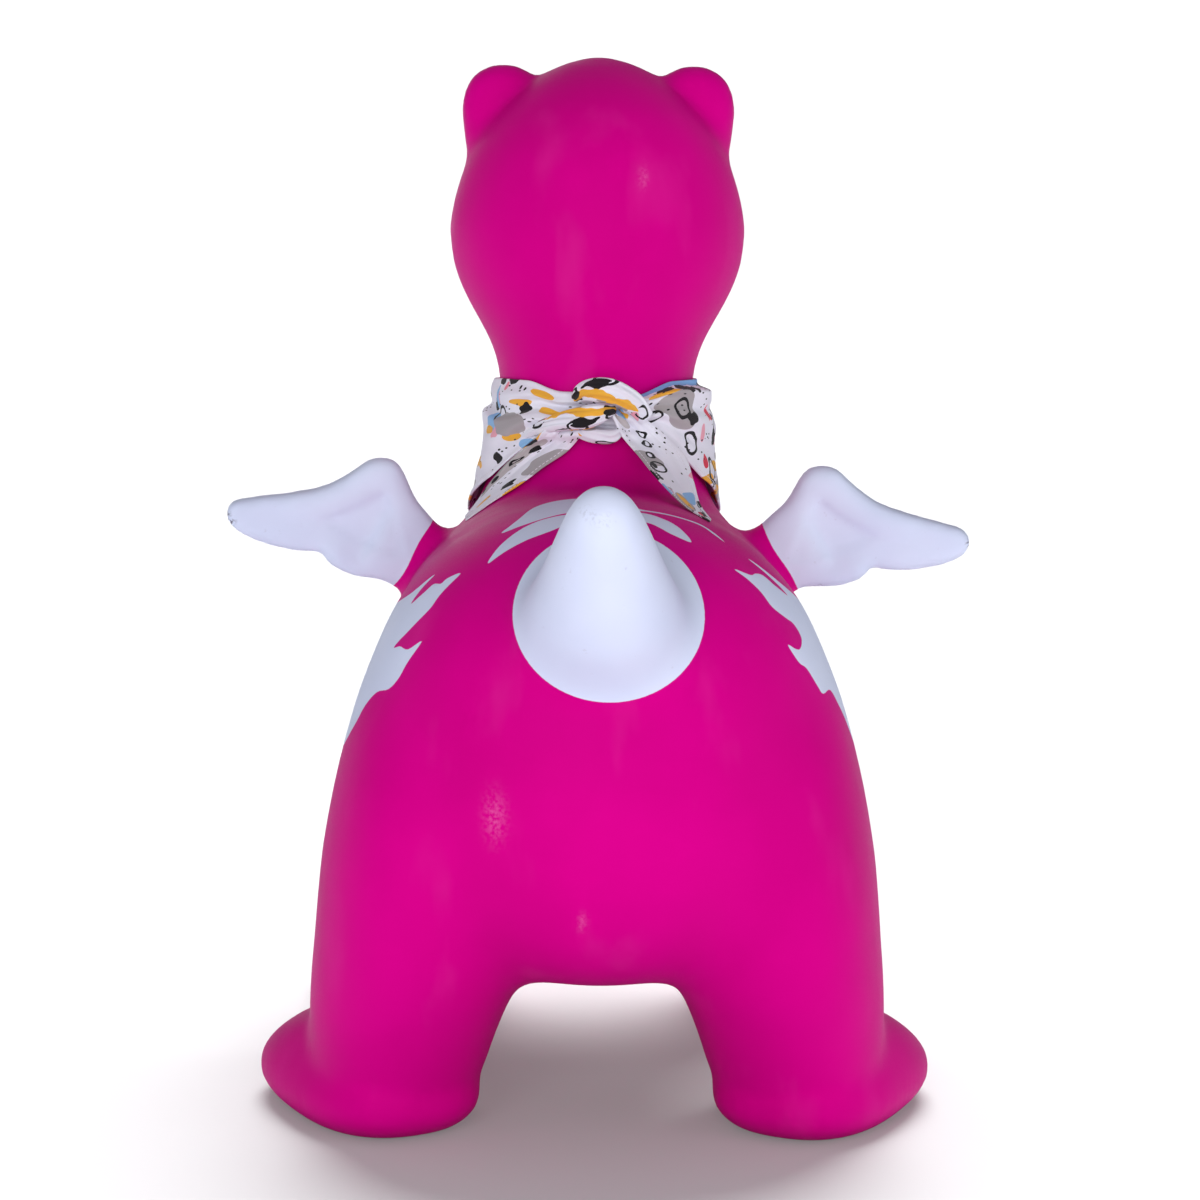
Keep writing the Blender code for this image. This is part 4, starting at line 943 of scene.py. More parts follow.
def printed_shapes(tree, place, spacing, reach, share, pushed, drawn, shift):
    """Two masks of scattered shapes, one to a place in the share of places filled: whole, and their rims."""
    inputs = {0: place, 1: shift, 2: (0.0, 0.0, 0.35 * drawn), 3: (1.0, drawn, 1.0)}
    laid = add(tree, "ShaderNodeMapping", inputs)[0]
    rough_push = add(tree, "ShaderNodeTexNoise", {"Vector": laid, "Scale": 1.7 / spacing, "Detail": 1.0})[1]
    centred = {0: rough_push, 1: (pushed * spacing,) * 3, 2: (-pushed * spacing / 2,) * 3}
    push = add(tree, "ShaderNodeVectorMath", centred, operation="MULTIPLY_ADD")[0]
    moved = add(tree, "ShaderNodeVectorMath", {0: laid, 1: push}, operation="ADD")[0]
    inputs = {"Vector": moved, "Scale": 1 / spacing, "Randomness": 0.8}
    cells = add(tree, "ShaderNodeTexVoronoi", inputs, voronoi_dimensions="2D")
    lots = add(tree, "ShaderNodeSeparateColor", {0: cells["Color"]})
    size = add(tree, "ShaderNodeMapRange", {0: lots[1], 3: reach * 0.6, 4: reach})[0]
    inside = add(tree, "ShaderNodeMath", {0: cells["Distance"], 1: size}, operation="LESS_THAN")[0]
    filled = add(tree, "ShaderNodeMath", {0: lots[0], 1: share}, operation="LESS_THAN")[0]
    shape = add(tree, "ShaderNodeMath", {0: inside, 1: filled}, operation="MULTIPLY")[0]
    core = add(tree, "ShaderNodeMath", {0: size, 1: 0.70}, operation="MULTIPLY")[0]
    rim = add(tree, "ShaderNodeMath", {0: cells["Distance"], 1: core}, operation="GREATER_THAN")[0]
    return shape, add(tree, "ShaderNodeMath", {0: shape, 1: rim}, operation="MULTIPLY")[0]


def printed_cotton():
    """Cotton poplin, woven and screen printed: matt and soft, with a fine weave, a pale ground and flat inks
    as pebbles, seeds, rings and strokes. A grey band along the left end is painted shade, standing for the
    shaded inner side of that end's fold. The threads are drawn at 0.6 mm, twice their real spacing."""
    thread_pitch, shade_size, crowd_size, ragged_size, ragged_by = 0.0006, 0.0170, 0.0290, 0.0070, 0.0042
    material, tree, shader = new_finish("cotton_poplin_printed")
    place = add(tree, "ShaderNodeUVMap", uv_map="cloth")[0]
    shade = add(tree, "ShaderNodeTexNoise", {"Vector": place, "Scale": 1 / shade_size, "Detail": 4.0})[0]
    crowd = add(tree, "ShaderNodeTexNoise", {"Vector": place, "Scale": 1 / crowd_size, "Detail": 0.0})[0]
    crowded = add(tree, "ShaderNodeMath", {0: crowd, 1: 0.50}, operation="GREATER_THAN")[0]
    inputs = {0: shade, 6: linear("#E4E3F2"), 7: linear("#F0EFF9")}
    colour = add(tree, "ShaderNodeMix", inputs, data_type="RGBA")[2]
    for name, code, *shape in inks:
        filled, rim = printed_shapes(tree, place, *shape)
        if name == "seeds":
            filled = add(tree, "ShaderNodeMath", {0: filled, 1: crowded}, operation="MULTIPLY")[0]
        inputs = {0: rim if name == "rings" else filled, 6: colour, 7: linear(code)}
        colour = add(tree, "ShaderNodeMix", inputs, data_type="RGBA")[2]
    ragged = add(tree, "ShaderNodeTexNoise", {"Vector": place, "Scale": 1 / ragged_size, "Detail": 1.0})[1]
    inputs = {0: ragged, 1: (ragged_by,) * 3, 2: (-ragged_by / 2,) * 3}
    push = add(tree, "ShaderNodeVectorMath", inputs, operation="MULTIPLY_ADD")[0]
    ragged_place = add(tree, "ShaderNodeVectorMath", {0: place, 1: push}, operation="ADD")[0]
    for (x, y), (wide, high), turn_deg, code in set_shapes:
        turn = (0.0, 0.0, math.radians(turn_deg))
        inputs = {0: ragged_place, 1: (x, y, 0.0), 2: turn, 3: (wide, high, 1.0)}
        local = add(tree, "ShaderNodeMapping", inputs, vector_type="TEXTURE")[0]
        away = add(tree, "ShaderNodeVectorMath", {0: local}, operation="LENGTH")["Value"]
        inside = add(tree, "ShaderNodeMath", {0: away, 1: 1.0}, operation="LESS_THAN")[0]
        inputs = {0: inside, 6: colour, 7: linear(code)}
        colour = add(tree, "ShaderNodeMix", inputs, data_type="RGBA")[2]
    around = {0: place, 1: (2 * math.pi / thread_pitch,) * 3}
    turns = add(tree, "ShaderNodeVectorMath", around, operation="MULTIPLY")[0]
    waves = add(tree, "ShaderNodeVectorMath", {0: turns}, operation="SINE")[0]
    across = add(tree, "ShaderNodeSeparateXYZ", {0: waves})
    weave = add(tree, "ShaderNodeMath", {0: across[0], 1: across[1]}, operation="MULTIPLY")[0]
    inputs = {0: weave, 1: 0.25, 2: shade}
    height = add(tree, "ShaderNodeMath", inputs, operation="MULTIPLY_ADD")[0]
    bump = add(tree, "ShaderNodeBump", {"Strength": 0.35, "Distance": 0.0006, "Height": height})[0]
    feed(tree, shader, {"Base Color": colour, "Roughness": 0.88, "Specular IOR Level": 0.25, "Normal": bump})
    feed(tree, shader, {"Sheen Weight": 0.10, "Sheen Roughness": 0.5})
    return material


def hem_thread():
    """Spun polyester sewing thread: a matt off-white, a little darker in its twist."""
    twist_size = 0.0004
    material, tree, shader = new_finish("polyester_thread_spun")
    here = add(tree, "ShaderNodeTexCoord")["Object"]
    twist = add(tree, "ShaderNodeTexNoise", {"Vector": here, "Scale": 1 / twist_size})[0]
    inputs = {0: twist, 6: linear("#D6D3DE"), 7: linear("#EFEDF4")}
    colour = add(tree, "ShaderNodeMix", inputs, data_type="RGBA")[2]
    feed(tree, shader, {"Base Color": colour, "Roughness": 0.8})
    return material


# the bandana

# The neck's middle line, and how far out of it the rays towards the neck start.
neck_middle_y, neck_middle_z, neck_slope, ray_reach = 0.1049, 0.262, 0.1674, 0.256
# The band's top edge is lowest at the front. Its lower edge falls by these shares from the nape to the chest.
nape_height, nape_depth, band_drop, front_lower = 0.3881, 0.0300, 0.1150, 0.00704
band_drops = (0.0, 0.02, 0.25, 0.40, 0.55, 0.77, 1.0)
# How long the print runs round the neck, and the dips of the top edge: how deep, and between which angles.
band_run = 0.44
band_dips = {"left": (0.0055, 0.30, 0.68), "right": (0.0085, 0.22, 0.75)}
# The way the photograph looks, and how far back from the cloth its rays start.
look, look_back = Vector((0, math.cos(math.radians(11)), -math.sin(math.radians(11)))), 0.5
band_thick, end_thick, seam_gap = 0.0016, 0.0010, 1e-5
# How far the band's cloth stands off the neck, in metres: everywhere, and what its pleats, its ripples, the
# swags on the chest, the fall at the sides, and the folds of the left and of the right side add.
least_stand, pleats_high, ripples_high, swags_high, sides_out = 0.0012, 0.0017, 0.0006, 0.0015, 0.0005
left_upper_high, left_lower_high, right_outer_high, right_crease_deep = 0.0022, 0.0066, 0.0098, 0.0026
# The same for a free end: everywhere, its pleats, its finer pleats, its hems and its raised sides.
end_least_stand, end_pleats_high, end_fine_high = 0.0012, 0.0015, 0.0007
hem_high, end_sides_high = 0.0009, 0.0022
# Cloth lies on what is nearer the middle than this, or lower: not on the wings.
clear_of_wings_x, clear_of_wings_z = 0.097, 0.255


def along(shares, place):
    """The value at a place from 0 to 1 along evenly spaced values."""
    at = place * (len(shares) - 1)
    low = min(int(at), len(shares) - 2)
    return shares[low] + (shares[low + 1] - shares[low]) * (at - low)


def cloth_object(name, rows, material, thick, print_place, closed=False):
    """A thick sheet through rows of points that run along the cloth, with its place in the print in metres as
    UV. A closed sheet is joined at the nape."""
    bm = bmesh.new()
    uv = bm.loops.layers.uv.new("cloth")
    verts = [[bm.verts.new(point) for point in row] for row in rows]
    lengths = [sum((b - a).length for a, b in zip(row, row[1:])) for row in rows]
    run = band_run if closed else np.mean(lengths)
    columns = len(rows[0]) - 1
    fallen = np.zeros((len(rows), columns + 1))
    for i, (row, above) in enumerate(zip(rows[1:], rows)):
        fallen[i + 1] = fallen[i] + [(low - high).length for low, high in zip(row, above)]
    for i in range(len(rows) - 1):
        for k in range(columns):
            corners = ((i, k), (i, k + 1), (i + 1, k + 1), (i + 1, k))
            face = bm.faces.new([verts[a][b] for a, b in corners])
            for loop, (a, b) in zip(face.loops, corners):
                loop[uv].uv = (print_place[0] + run * b / columns, print_place[1] + fallen[a][b])
    if closed:
        ends = [vert for row in verts for vert in (row[0], row[-1])]
        bmesh.ops.remove_doubles(bm, verts=ends, dist=seam_gap)
    mesh = bpy.data.meshes.new(name)
    bm.to_mesh(mesh)
    bm.free()
    obj = shown(name, mesh, material)
    solid = obj.modifiers.new("thick", "SOLIDIFY")
    solid.thickness = thick
    solid.offset = 1
    return shown(name, rounded_off(obj), material)


def tree_of(meshes):
    """What cloth can be laid on: the meshes without the wings."""
    points, faces = [], []
    for mesh in meshes:
        first = len(points)
        points += [vert.co.copy() for vert in mesh.vertices]
        middles = ((face, face.center) for face in mesh.polygons)
        kept = (face for face, at in middles if abs(at.x) < clear_of_wings_x or at.z < clear_of_wings_z)
        faces += [[first + i for i in face.vertices] for face in kept]
    return BVHTree.FromPolygons(points, faces)


def band_stand(turn, down):
    """How far the cloth stands off the neck, by the angle from the nape and the place from its top edge down.
    On the left a puffed upper fold lies on a lower one that bulges. On the right a loose outer fold hides all
    but the top of the inner one."""
    side = math.sin(turn)
    from_nape = abs(math.remainder(turn, 2 * math.pi))
    share = min(1, 1.6 * abs(side))
    gather = math.exp(-((from_nape / 0.75) ** 2))
    pleats = math.sin(2 * math.pi * (2.3 * down + 0.22 * math.copysign(from_nape, side)))
    pleats += 0.55 * math.sin(2 * math.pi * (4.6 * down - 0.5 * turn) + 0.8)
    stand = least_stand + pleats_high * (0.30 + 1.1 * gather) * (pleats + 1.2)
    ripple = math.sin(7 * turn + 5.0 * down) + 0.6 * math.sin(11 * turn - 7.0 * down + 1.1)
    stand += ripples_high * (1 - gather) * (ripple + 1.6)
    chest = float(smoothstep(from_nape, 1.5, 2.3))
    swag = math.sin(2 * math.pi * (1.7 * down + 0.16 * math.cos(2.1 * turn)) - 0.6)
    swag += 0.7 * math.sin(5.3 * turn + 2.6 * down) * down
    stand += swags_high * chest * (swag + 1.5)
    stand += sides_out * side * side * down**1.4
    if side < 0:
        crease = max(0.24, 0.62 - 0.24 * from_nape) + 0.02 * math.sin(5 * turn)
        lower = float(smoothstep(down, crease - 0.010, crease + 0.045))
        stand += share * left_upper_high * math.sin(math.pi * min(down / crease, 1)) ** 0.7
        stand += share * lower * left_lower_high * (1 - 0.60 * max(0, down - crease) / (1 - crease))
        return stand
    outer = float(smoothstep(down, 0.050, 0.085))
    crease = 0.26 + 0.07 * math.sin(1.8 * from_nape + 0.4)
    stand += share * outer * right_outer_high * along((1.0, 1.0, 0.92, 0.70, 0.45, 0.20), down)
    stand -= share * right_crease_deep * math.exp(-(((down - crease) / 0.045) ** 2))
    return stand


def band_edges(turn):
    """How high the band's top and lower edges are, by the angle from the nape."""
    to_front = 1 - abs(turn / math.pi - 1)
    deep, near, far = band_dips["right" if turn < math.pi else "left"]
    dip = deep * (1 - smoothstep(to_front * math.pi, near, far))
    high = nape_height - front_lower * (1 - math.cos(turn)) - dip
    return high, nape_height - nape_depth - band_drop * along(band_drops, to_front)


def neck_ray(turn, z):
    """Where a ray towards the neck starts, and the way outward there."""
    outward = Vector((math.sin(turn), -math.cos(turn), 0))
    middle = Vector((0, neck_middle_y + neck_slope * (z - neck_middle_z), z))
    return middle + ray_reach * outward, outward


def make_band(skin_tree, material):
    """The folded bandana round the neck: gathered short at the nape, and drawn to a point on the chest."""
    columns, rows_count = 260, 34
    rows = []
    for i in range(rows_count + 1):
        row = []
        down = i / rows_count
        for k in range(columns + 1):
            turn = 2 * math.pi * (k % columns) / columns
            high, low = band_edges(turn)
            start, outward = neck_ray(turn, high + (low - high) * down)
            place, _, _, _ = skin_tree.ray_cast(start, -outward)
            row.append(place + outward * band_stand(turn, down))
        rows.append(row)
    return cloth_object("bandana_band_cloth", rows, material, band_thick, (-band_run / 2, 0), closed=True)


# The two edges of each free end, from the knot to its tip, as x and z on an upright plane behind the knot.
end_plane_y = 0.045
end_edges = {
    "left": (
        ((-0.0285, 0.3635), (-0.0408, 0.3532), (-0.0531, 0.3420), (-0.0626, 0.3308), (-0.0692, 0.3211),
         (-0.0762, 0.3120)),
        ((-0.0085, 0.3612), (-0.0170, 0.3500), (-0.0302, 0.3407), (-0.0435, 0.3305), (-0.0597, 0.3202),
         (-0.0755, 0.3087)),
    ),
    "right": (
        ((0.0071, 0.3719), (0.0134, 0.3584), (0.0222, 0.3469), (0.0328, 0.3325), (0.0464, 0.3171),
         (0.0598, 0.3068)),
        ((0.0170, 0.3772), (0.0363, 0.3615), (0.0493, 0.3476), (0.0537, 0.3327), (0.0565, 0.3182),
         (0.0613, 0.3083)),
    ),
}
end_hems = {"left": (0.86,), "right": (0.10, 0.90)}
end_prints = {"left": (0.5, 0.5), "right": (0.7, 0.5)}
# How far an end may sag behind the straight line from knot to tip, and how much it may curve from row to row.
end_sag, end_curve, smoothing_turns = 0.030, 0.0002, 8


def on_end(name, steps, share):
    """Points down a free end, at a share of the way from its first edge to its second."""
    first, second = [through(edge, steps) for edge in end_edges[name]]
    for (x0, z0), (x1, z1) in zip(first, second):
        yield Vector((x0 + (x1 - x0) * share, end_plane_y, z0 + (z1 - z0) * share))


def make_end(name, under_tree, material):
    """A free end of the bandana, from the knot to its tip: laid on what is under it, straight where that
    falls away, with turned hems and long soft pleats that start in the knot."""
    columns, steps = 24, 10
    shares = [k / columns for k in range(columns + 1)]
    flat = list(zip(*[on_end(name, steps, share) for share in shares]))
    depth = np.empty((len(flat), len(shares)))
    for i, row in enumerate(flat):
        for k, point in enumerate(row):
            hit = under_tree.ray_cast(point - look * look_back, look)[0]
            if hit is None:
                hit = under_tree.find_nearest(point)[0]
            depth[i, k] = (hit - point).dot(look)
    ramp = np.linspace(0, 1, len(flat))[:, None]
    taut = depth[0][None] * (1 - ramp) + depth[-1][None] * ramp
    depth = np.minimum(depth, taut + end_sag * np.sin(math.pi * ramp) ** 0.8)
    for _ in range(smoothing_turns):
        depth[1:-1] = np.minimum(depth[1:-1], (depth[:-2] + depth[2:]) / 2 + end_curve)
        depth[:, 1:-1] = np.minimum(depth[:, 1:-1], (depth[:, :-2] + depth[:, 2:]) / 2 + end_curve)
    for i, row in enumerate(flat):
        down = i / (len(flat) - 1)
        fade = (1 - down) ** 0.7
        for k, (point, s) in enumerate(zip(row, shares)):
            fold = end_pleats_high * fade * (1 + math.sin(2 * math.pi * (1.6 * s + 0.15 * down)))
            fold += end_fine_high * fade * (1 + math.sin(2 * math.pi * (3.7 * s - 0.4 * down) + 1.0))
            hem = 1 - float(smoothstep(min(s, 1 - s), 0.08, 0.13))
            stand = end_least_stand + fold + hem_high * hem + end_sides_high * fade * abs(2 * s - 1) ** 3
            point += look * (depth[i, k] - stand)
    return cloth_object(f"bandana_end_{name}_cloth", list(zip(*flat)), material, end_thick, end_prints[name])


# The hems' stitches, in metres: spacing, length, thread, and how far the thread stands off the cloth.
stitch_sizes = {"Spacing": 0.0026, "Stitch": 0.0019, "Thread": 0.0005}
stitch_stand = 0.0001
# The chest's stitches: how far from the nape they start, how far down the band they are, and how many points.
chest_hem_from, chest_hem_down, chest_hem_points = 0.95, 0.95, 120


def stitch_row(name, path, material):
    """A row of stitches along a path, made with Geometry Nodes: short threads at even spacing."""
    curve = bpy.data.curves.new(name, "CURVE")
    curve.dimensions = "3D"
    spline = curve.splines.new("POLY")
    spline.points.add(len(path) - 1)
    spline.points.foreach_set("co", [value for point in path for value in (*point, 1)])
    obj = put(name, curve)
    tree = bpy.data.node_groups.new("stitching", "GeometryNodeTree")
    socket = tree.interface.new_socket
    socket("Geometry", in_out="INPUT", socket_type="NodeSocketGeometry")
    keys = {}
    for label in stitch_sizes:
        keys[label] = socket(label, in_out="INPUT", socket_type="NodeSocketFloat").identifier
    socket("Geometry", in_out="OUTPUT", socket_type="NodeSocketGeometry")
    given = add(tree, "NodeGroupInput")
    inputs = {0: given["Geometry"], "Length": given["Spacing"]}
    points = add(tree, "GeometryNodeResampleCurve", inputs, mode="LENGTH")
    tangent = add(tree, "GeometryNodeInputTangent")[0]
    turn = add(tree, "FunctionNodeAlignRotationToVector", {"Vector": tangent}, axis="Z")[0]
    half = add(tree, "ShaderNodeMath", {0: given["Thread"], 1: 0.5}, operation="MULTIPLY")[0]
    bead = add(tree, "GeometryNodeMeshUVSphere", {"Segments": 8, "Rings": 6, "Radius": half})[0]
    ratio = add(tree, "ShaderNodeMath", {0: given["Stitch"], 1: given["Thread"]}, operation="DIVIDE")[0]
    scale = add(tree, "ShaderNodeCombineXYZ", {0: 1.0, 1: 1.0, 2: ratio})[0]
    inputs = {"Points": points[0], "Instance": bead, "Rotation": turn, "Scale": scale}
    placed = add(tree, "GeometryNodeInstanceOnPoints", inputs)[0]
    solid = add(tree, "GeometryNodeRealizeInstances", {0: placed})[0]
    finished = add(tree, "GeometryNodeSetMaterial", {0: solid, "Material": material})[0]
    add(tree, "NodeGroupOutput", {0: finished})
    modifier = obj.modifiers.new("stitching", "NODES")
    modifier.node_group = tree
    for label, value in stitch_sizes.items():
        modifier[keys[label]] = value
    mesh = plain_mesh(obj)
    shade_smooth(mesh)
    return shown(name, mesh)


def stitch_band(cloth, material):
    """The stitches of the hem round the chest."""
    on_cloth = tree_of([cloth.data])
    path = []
    for turn in np.linspace(chest_hem_from, 2 * math.pi - chest_hem_from, chest_hem_points):
        high, low = band_edges(turn)
        start, outward = neck_ray(turn, high + (low - high) * chest_hem_down)
        hit = on_cloth.ray_cast(start, -outward)[0]
        if hit is not None:
            path.append(hit + outward * stitch_stand)
    return stitch_row("hem_stitches_chest", path, material)


def stitch_end(name, cloth, material):
    """The stitches of an end's hems, on the face that is seen, from clear of the knot to short of the tip."""
    on_cloth = tree_of([cloth.data])
    made = []
    for number, share in enumerate(end_hems[name]):
        hits = [on_cloth.ray_cast(point - look * look_back, look)[0] for point in on_end(name, 12, share)]
        path = [hit - look * stitch_stand for hit in hits[6:-4] if hit is not None]
        made.append(stitch_row(f"hem_stitches_{name}_{number}", path, material))
    return made


# How far the print runs round a fold of the knot, in metres.
fold_round = 0.045


def swept_fold(name, material, path, widths, thicks, tilts_deg, print_place, pleats, deep):
    """A bunched strip of cloth drawn along a path: a flat oval with pleats along it."""
    around, steps = 36, 8
    curve = through([(*p, w, t, a) for p, w, t, a in zip(path, widths, thicks, tilts_deg)], steps)
    bm = bmesh.new()
    uv = bm.loops.layers.uv.new("cloth")
    rings, gone = [], [0.0]
    for i, (x, y, z, wide, thick, tilt) in enumerate(curve):
        before, after = curve[max(i - 1, 0)][:3], curve[min(i + 1, len(curve) - 1)][:3]
        ahead = Vector(after - before).normalized()
        flat = Vector((0, -1, 0)).cross(ahead).normalized()
        face = ahead.cross(flat).normalized()
        turn = Matrix.Rotation(math.radians(tilt), 3, ahead)
        flat, face = turn @ flat, turn @ face
        if i:
            gone.append(gone[-1] + float(np.linalg.norm(curve[i][:3] - curve[i - 1][:3])))
        ring = []
        for k in range(around):
            a = 2 * math.pi * k / around
            c, s = math.cos(a), math.sin(a)
            pleat = 1 + deep * math.cos(pleats * math.pi * c + 0.9 * i / steps) * abs(s)
            across = math.copysign(abs(c) ** 0.9, c) * wide / 2
            out = math.copysign(abs(s) ** 0.8, s) * thick / 2 * pleat
            ring.append(bm.verts.new(Vector((x, y, z)) + flat * across + face * out))
        rings.append(ring)
    for i, (low, high) in enumerate(zip(rings, rings[1:])):
        for k in range(around):
            j = (k + 1) % around
            made = bm.faces.new((low[k], low[j], high[j], high[k]))
            wraps = ((i, k), (i, k + 1), (i + 1, k + 1), (i + 1, k))
            for loop, (a, b) in zip(made.loops, wraps):
                loop[uv].uv = (gone[a] + print_place[0], fold_round * b / around + print_place[1])
    for ring in (rings[0], rings[-1]):
        bm.faces.new(ring)
    return shown(name, rounded_off(shown(name, mesh_of(bm, name), material)), material)


# The knot's parts: path, widths and thicknesses in metres, tilts, place in the print, pleats and their depth.
knot_folds = {
    "knot_turn": (
        ((-0.0129, 0.0500, 0.3796), (-0.0087, 0.0430, 0.3845), (-0.0012, 0.0375, 0.3865),
         (0.0073, 0.0365, 0.3856), (0.0149, 0.0385, 0.3820), (0.0218, 0.0430, 0.3766),
         (0.0277, 0.0490, 0.3685)),
        (0.006, 0.011, 0.0140, 0.0145, 0.0135, 0.0125, 0.010),
        (0.005, 0.008, 0.0095, 0.0095, 0.009, 0.0075, 0.005),
        (0, 0, 0, -5, -15, -20, -20), (0.20, 0.30), 3, 0.22,
    ),
    "knot_twist": (
        ((0.0090, 0.0460, 0.3748), (0.0008, 0.0395, 0.3728), (-0.0077, 0.0395, 0.3702),
         (-0.0171, 0.0445, 0.3679), (-0.0266, 0.0505, 0.3645), (-0.0361, 0.0590, 0.3598),
         (-0.0437, 0.0670, 0.3544)),
        (0.006, 0.0115, 0.0140, 0.0125, 0.0105, 0.0080, 0.0035),
        (0.005, 0.008, 0.009, 0.008, 0.007, 0.005, 0.002),
        (0, 15, 30, 45, 55, 60, 60), (0.20, 0.30), 4, 0.26,
    ),
    "knot_bunch": (
        ((-0.0151, 0.0480, 0.3616), (-0.0066, 0.0430, 0.3598), (0.0020, 0.0420, 0.3588),
         (0.0086, 0.0420, 0.3591), (0.0134, 0.0470, 0.3625)),
        (0.004, 0.0075, 0.0085, 0.0075, 0.004),
        (0.004, 0.006, 0.007, 0.006, 0.004),
        (0, 0, 10, 20, 20), (0.40, 0.70), 2, 0.18,
    ),
}


def make_knot(material):
    """The knot: one turn drawn over the top, a twisted run under it to the left, and bunched cloth below."""
    return [swept_fold(name, material, *fold) for name, fold in knot_folds.items()]


# the valve

turned_sides, sharp_from_deg = 64, 40


def turned(name, profile, material):
    """A form turned about the valve's axis from its profile of radius and height, in metres."""
    bm = bmesh.new()
    x, y, z = valve_place
    steps = turned_sides
    around = [(math.cos(2 * math.pi * i / steps), math.sin(2 * math.pi * i / steps)) for i in range(steps)]
    rings = []
    for radius, height in profile:
        if radius < 1e-6:
            rings.append([bm.verts.new((x, y, z + height))])
            continue
        rings.append([bm.verts.new((x + radius * c, y + radius * s, z + height)) for c, s in around])
    for low, high in zip(rings, rings[1:]):
        for i in range(steps if len(low) + len(high) > 2 else 0):
            j = (i + 1) % steps
            corners = [low[i % len(low)], low[j % len(low)], high[j % len(high)], high[i % len(high)]]
            bm.faces.new(list(dict.fromkeys(corners)))
    return shown(name, mesh_of(bm, name), material)


valve_profiles = {
    "valve_socket": (
        (0.0050, 0.0), (0.0108, 0.0), (0.0116, 0.0006), (0.0116, 0.0016), (0.0070, 0.0030), (0.0066, 0.0230),
        (0.0058, 0.0245), (0.0, 0.0245), (0.0, 0.0232), (0.0050, 0.0232), (0.0050, 0.0),
    ),
    "valve_stopper": (
        (0.0, -0.0063), (0.0030, -0.0063), (0.0038, -0.0058), (0.0040, -0.0030), (0.0046, -0.0028),
        (0.0102, -0.0028), (0.0110, -0.0022), (0.0110, -0.0008), (0.0104, -0.0003), (0.0041, -0.0003),
        (0.0041, 0.0042), (0.0047, 0.0062), (0.0041, 0.0082), (0.0041, 0.0112), (0.0047, 0.0132),
        (0.0041, 0.0152), (0.0036, 0.0192), (0.0030, 0.0196), (0.0, 0.0196),
    ),
}


def make_valve(material):
    """The socket in the belly, and its stopper."""
    made = [turned(name, profile, material) for name, profile in valve_profiles.items()]
    for obj in made:
        shade_smooth(obj.data)
        obj.data.set_sharp_from_angle(angle=math.radians(sharp_from_deg))
    return made


# putting it together

# A distance past each seam, added to the start and end points handed to bake_transform, which doesn't use
# them.
past_seam = 0.002


def main():
    satin = sprayed_skin()
    cotton = printed_cotton()
    white_plastic = valve_plastic()
    skin = make_skin()
    skin_tree = tree_of([skin])
    band = make_band(skin_tree, cotton)
    under = tree_of([skin, band.data])
    knot = make_knot(cotton)
    ends = {name: make_end(name, under, cotton) for name in sides}
    thread = hem_thread()
    stitches = [row for name, end in ends.items() for row in stitch_end(name, end, thread)]
    stitches.append(stitch_band(band, thread))
    pieces = cut_skin(skin, satin)
    socket, plug = make_valve(white_plastic)

    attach(pieces["torso_skin"], "trunk")
    legs = [f"leg_{end}_{side}" for end in foot_places for side in sides]
    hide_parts("torso", *legs)
    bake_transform(pieces["neck_skin"])
    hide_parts("neck", "neck_flex")
    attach(pieces["head_skin"], "head")
    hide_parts("head")
    low, high = [tail_frame @ Vector((0, 0, z)) for z in (tail_soft[0] + past_seam, tail_soft[1])]
    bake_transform(pieces["tail_skin"], "trunk", "tail", start=tuple(low), end=tuple(high))
    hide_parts("tail", "tail_root")
    for name, side in sides.items():
        at = frame_at(side, ear_places)
        low, high = [at @ Vector((0, 0, z)) for z in (ear_soft[0] + past_seam, ear_soft[1] + 2 * past_seam)]
        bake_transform(pieces[f"ear_skin_{name}"], "head", f"ear_{name}", start=tuple(low), end=tuple(high))
        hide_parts(f"ear_{name}", f"ear_root_{name}")
        at = frame_at(side, wing_places)
        low, high = [at @ Vector((0, 0, z + past_seam)) for z in wing_soft]
        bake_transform(pieces[f"wing_skin_{name}"], "trunk", f"wing_{name}", start=tuple(low), end=tuple(high))
        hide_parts(f"wing_{name}", f"wing_root_{name}")
        for end, (x, y, _, _) in foot_places.items():
            piece = pieces[f"foot_skin_{end}_{name}"]
            high, low = (side * x, y, ankle_heights[1] - past_seam), (side * x, y, ankle_heights[0])
            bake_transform(piece)
            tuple(high)
            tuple(low)
            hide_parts(f"foot_{end}_{name}", f"ankle_{end}_{name}")
    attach(socket, "trunk")
    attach(plug, "valve_plug")
    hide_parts("valve_plug")
    for piece in (band, *knot, *ends.values(), *stitches):
        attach(piece, "trunk")
    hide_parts("bandana_band")
    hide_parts("bandana_knot")
    for name, end in ends.items():
        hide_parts(f"bandana_end_{name}")

    light_room(make_floor())
    place_camera()


# floor, light and camera

floor_half = 60


def make_floor():
    """Matt white paper, seen a little brighter than it lights the piece."""
    bm = bmesh.new()
    bmesh.ops.create_grid(bm, x_segments=8, y_segments=8, size=floor_half)
    room = shown("paper_floor", mesh_of(bm, "paper_floor"))
    material, tree, shader = new_finish("paper_matt")
    seen = add(tree, "ShaderNodeLightPath")["Is Camera Ray"]
    inputs = {0: seen, 6: linear("#B2B2B4"), 7: linear("#B4B4B5")}
    paper = add(tree, "ShaderNodeMix", inputs, data_type="RGBA")[2]
    glow = add(tree, "ShaderNodeMapRange", {0: seen, 4: 0.12})[0]
    feed(tree, shader, {"Base Color": paper, "Roughness": 0.95, "Specular IOR Level": 0.1})
    feed(tree, shader, {"Emission Color": linear("#FFFFFF"), "Emission Strength": glow})
    room.data.materials.append(material)
    return room


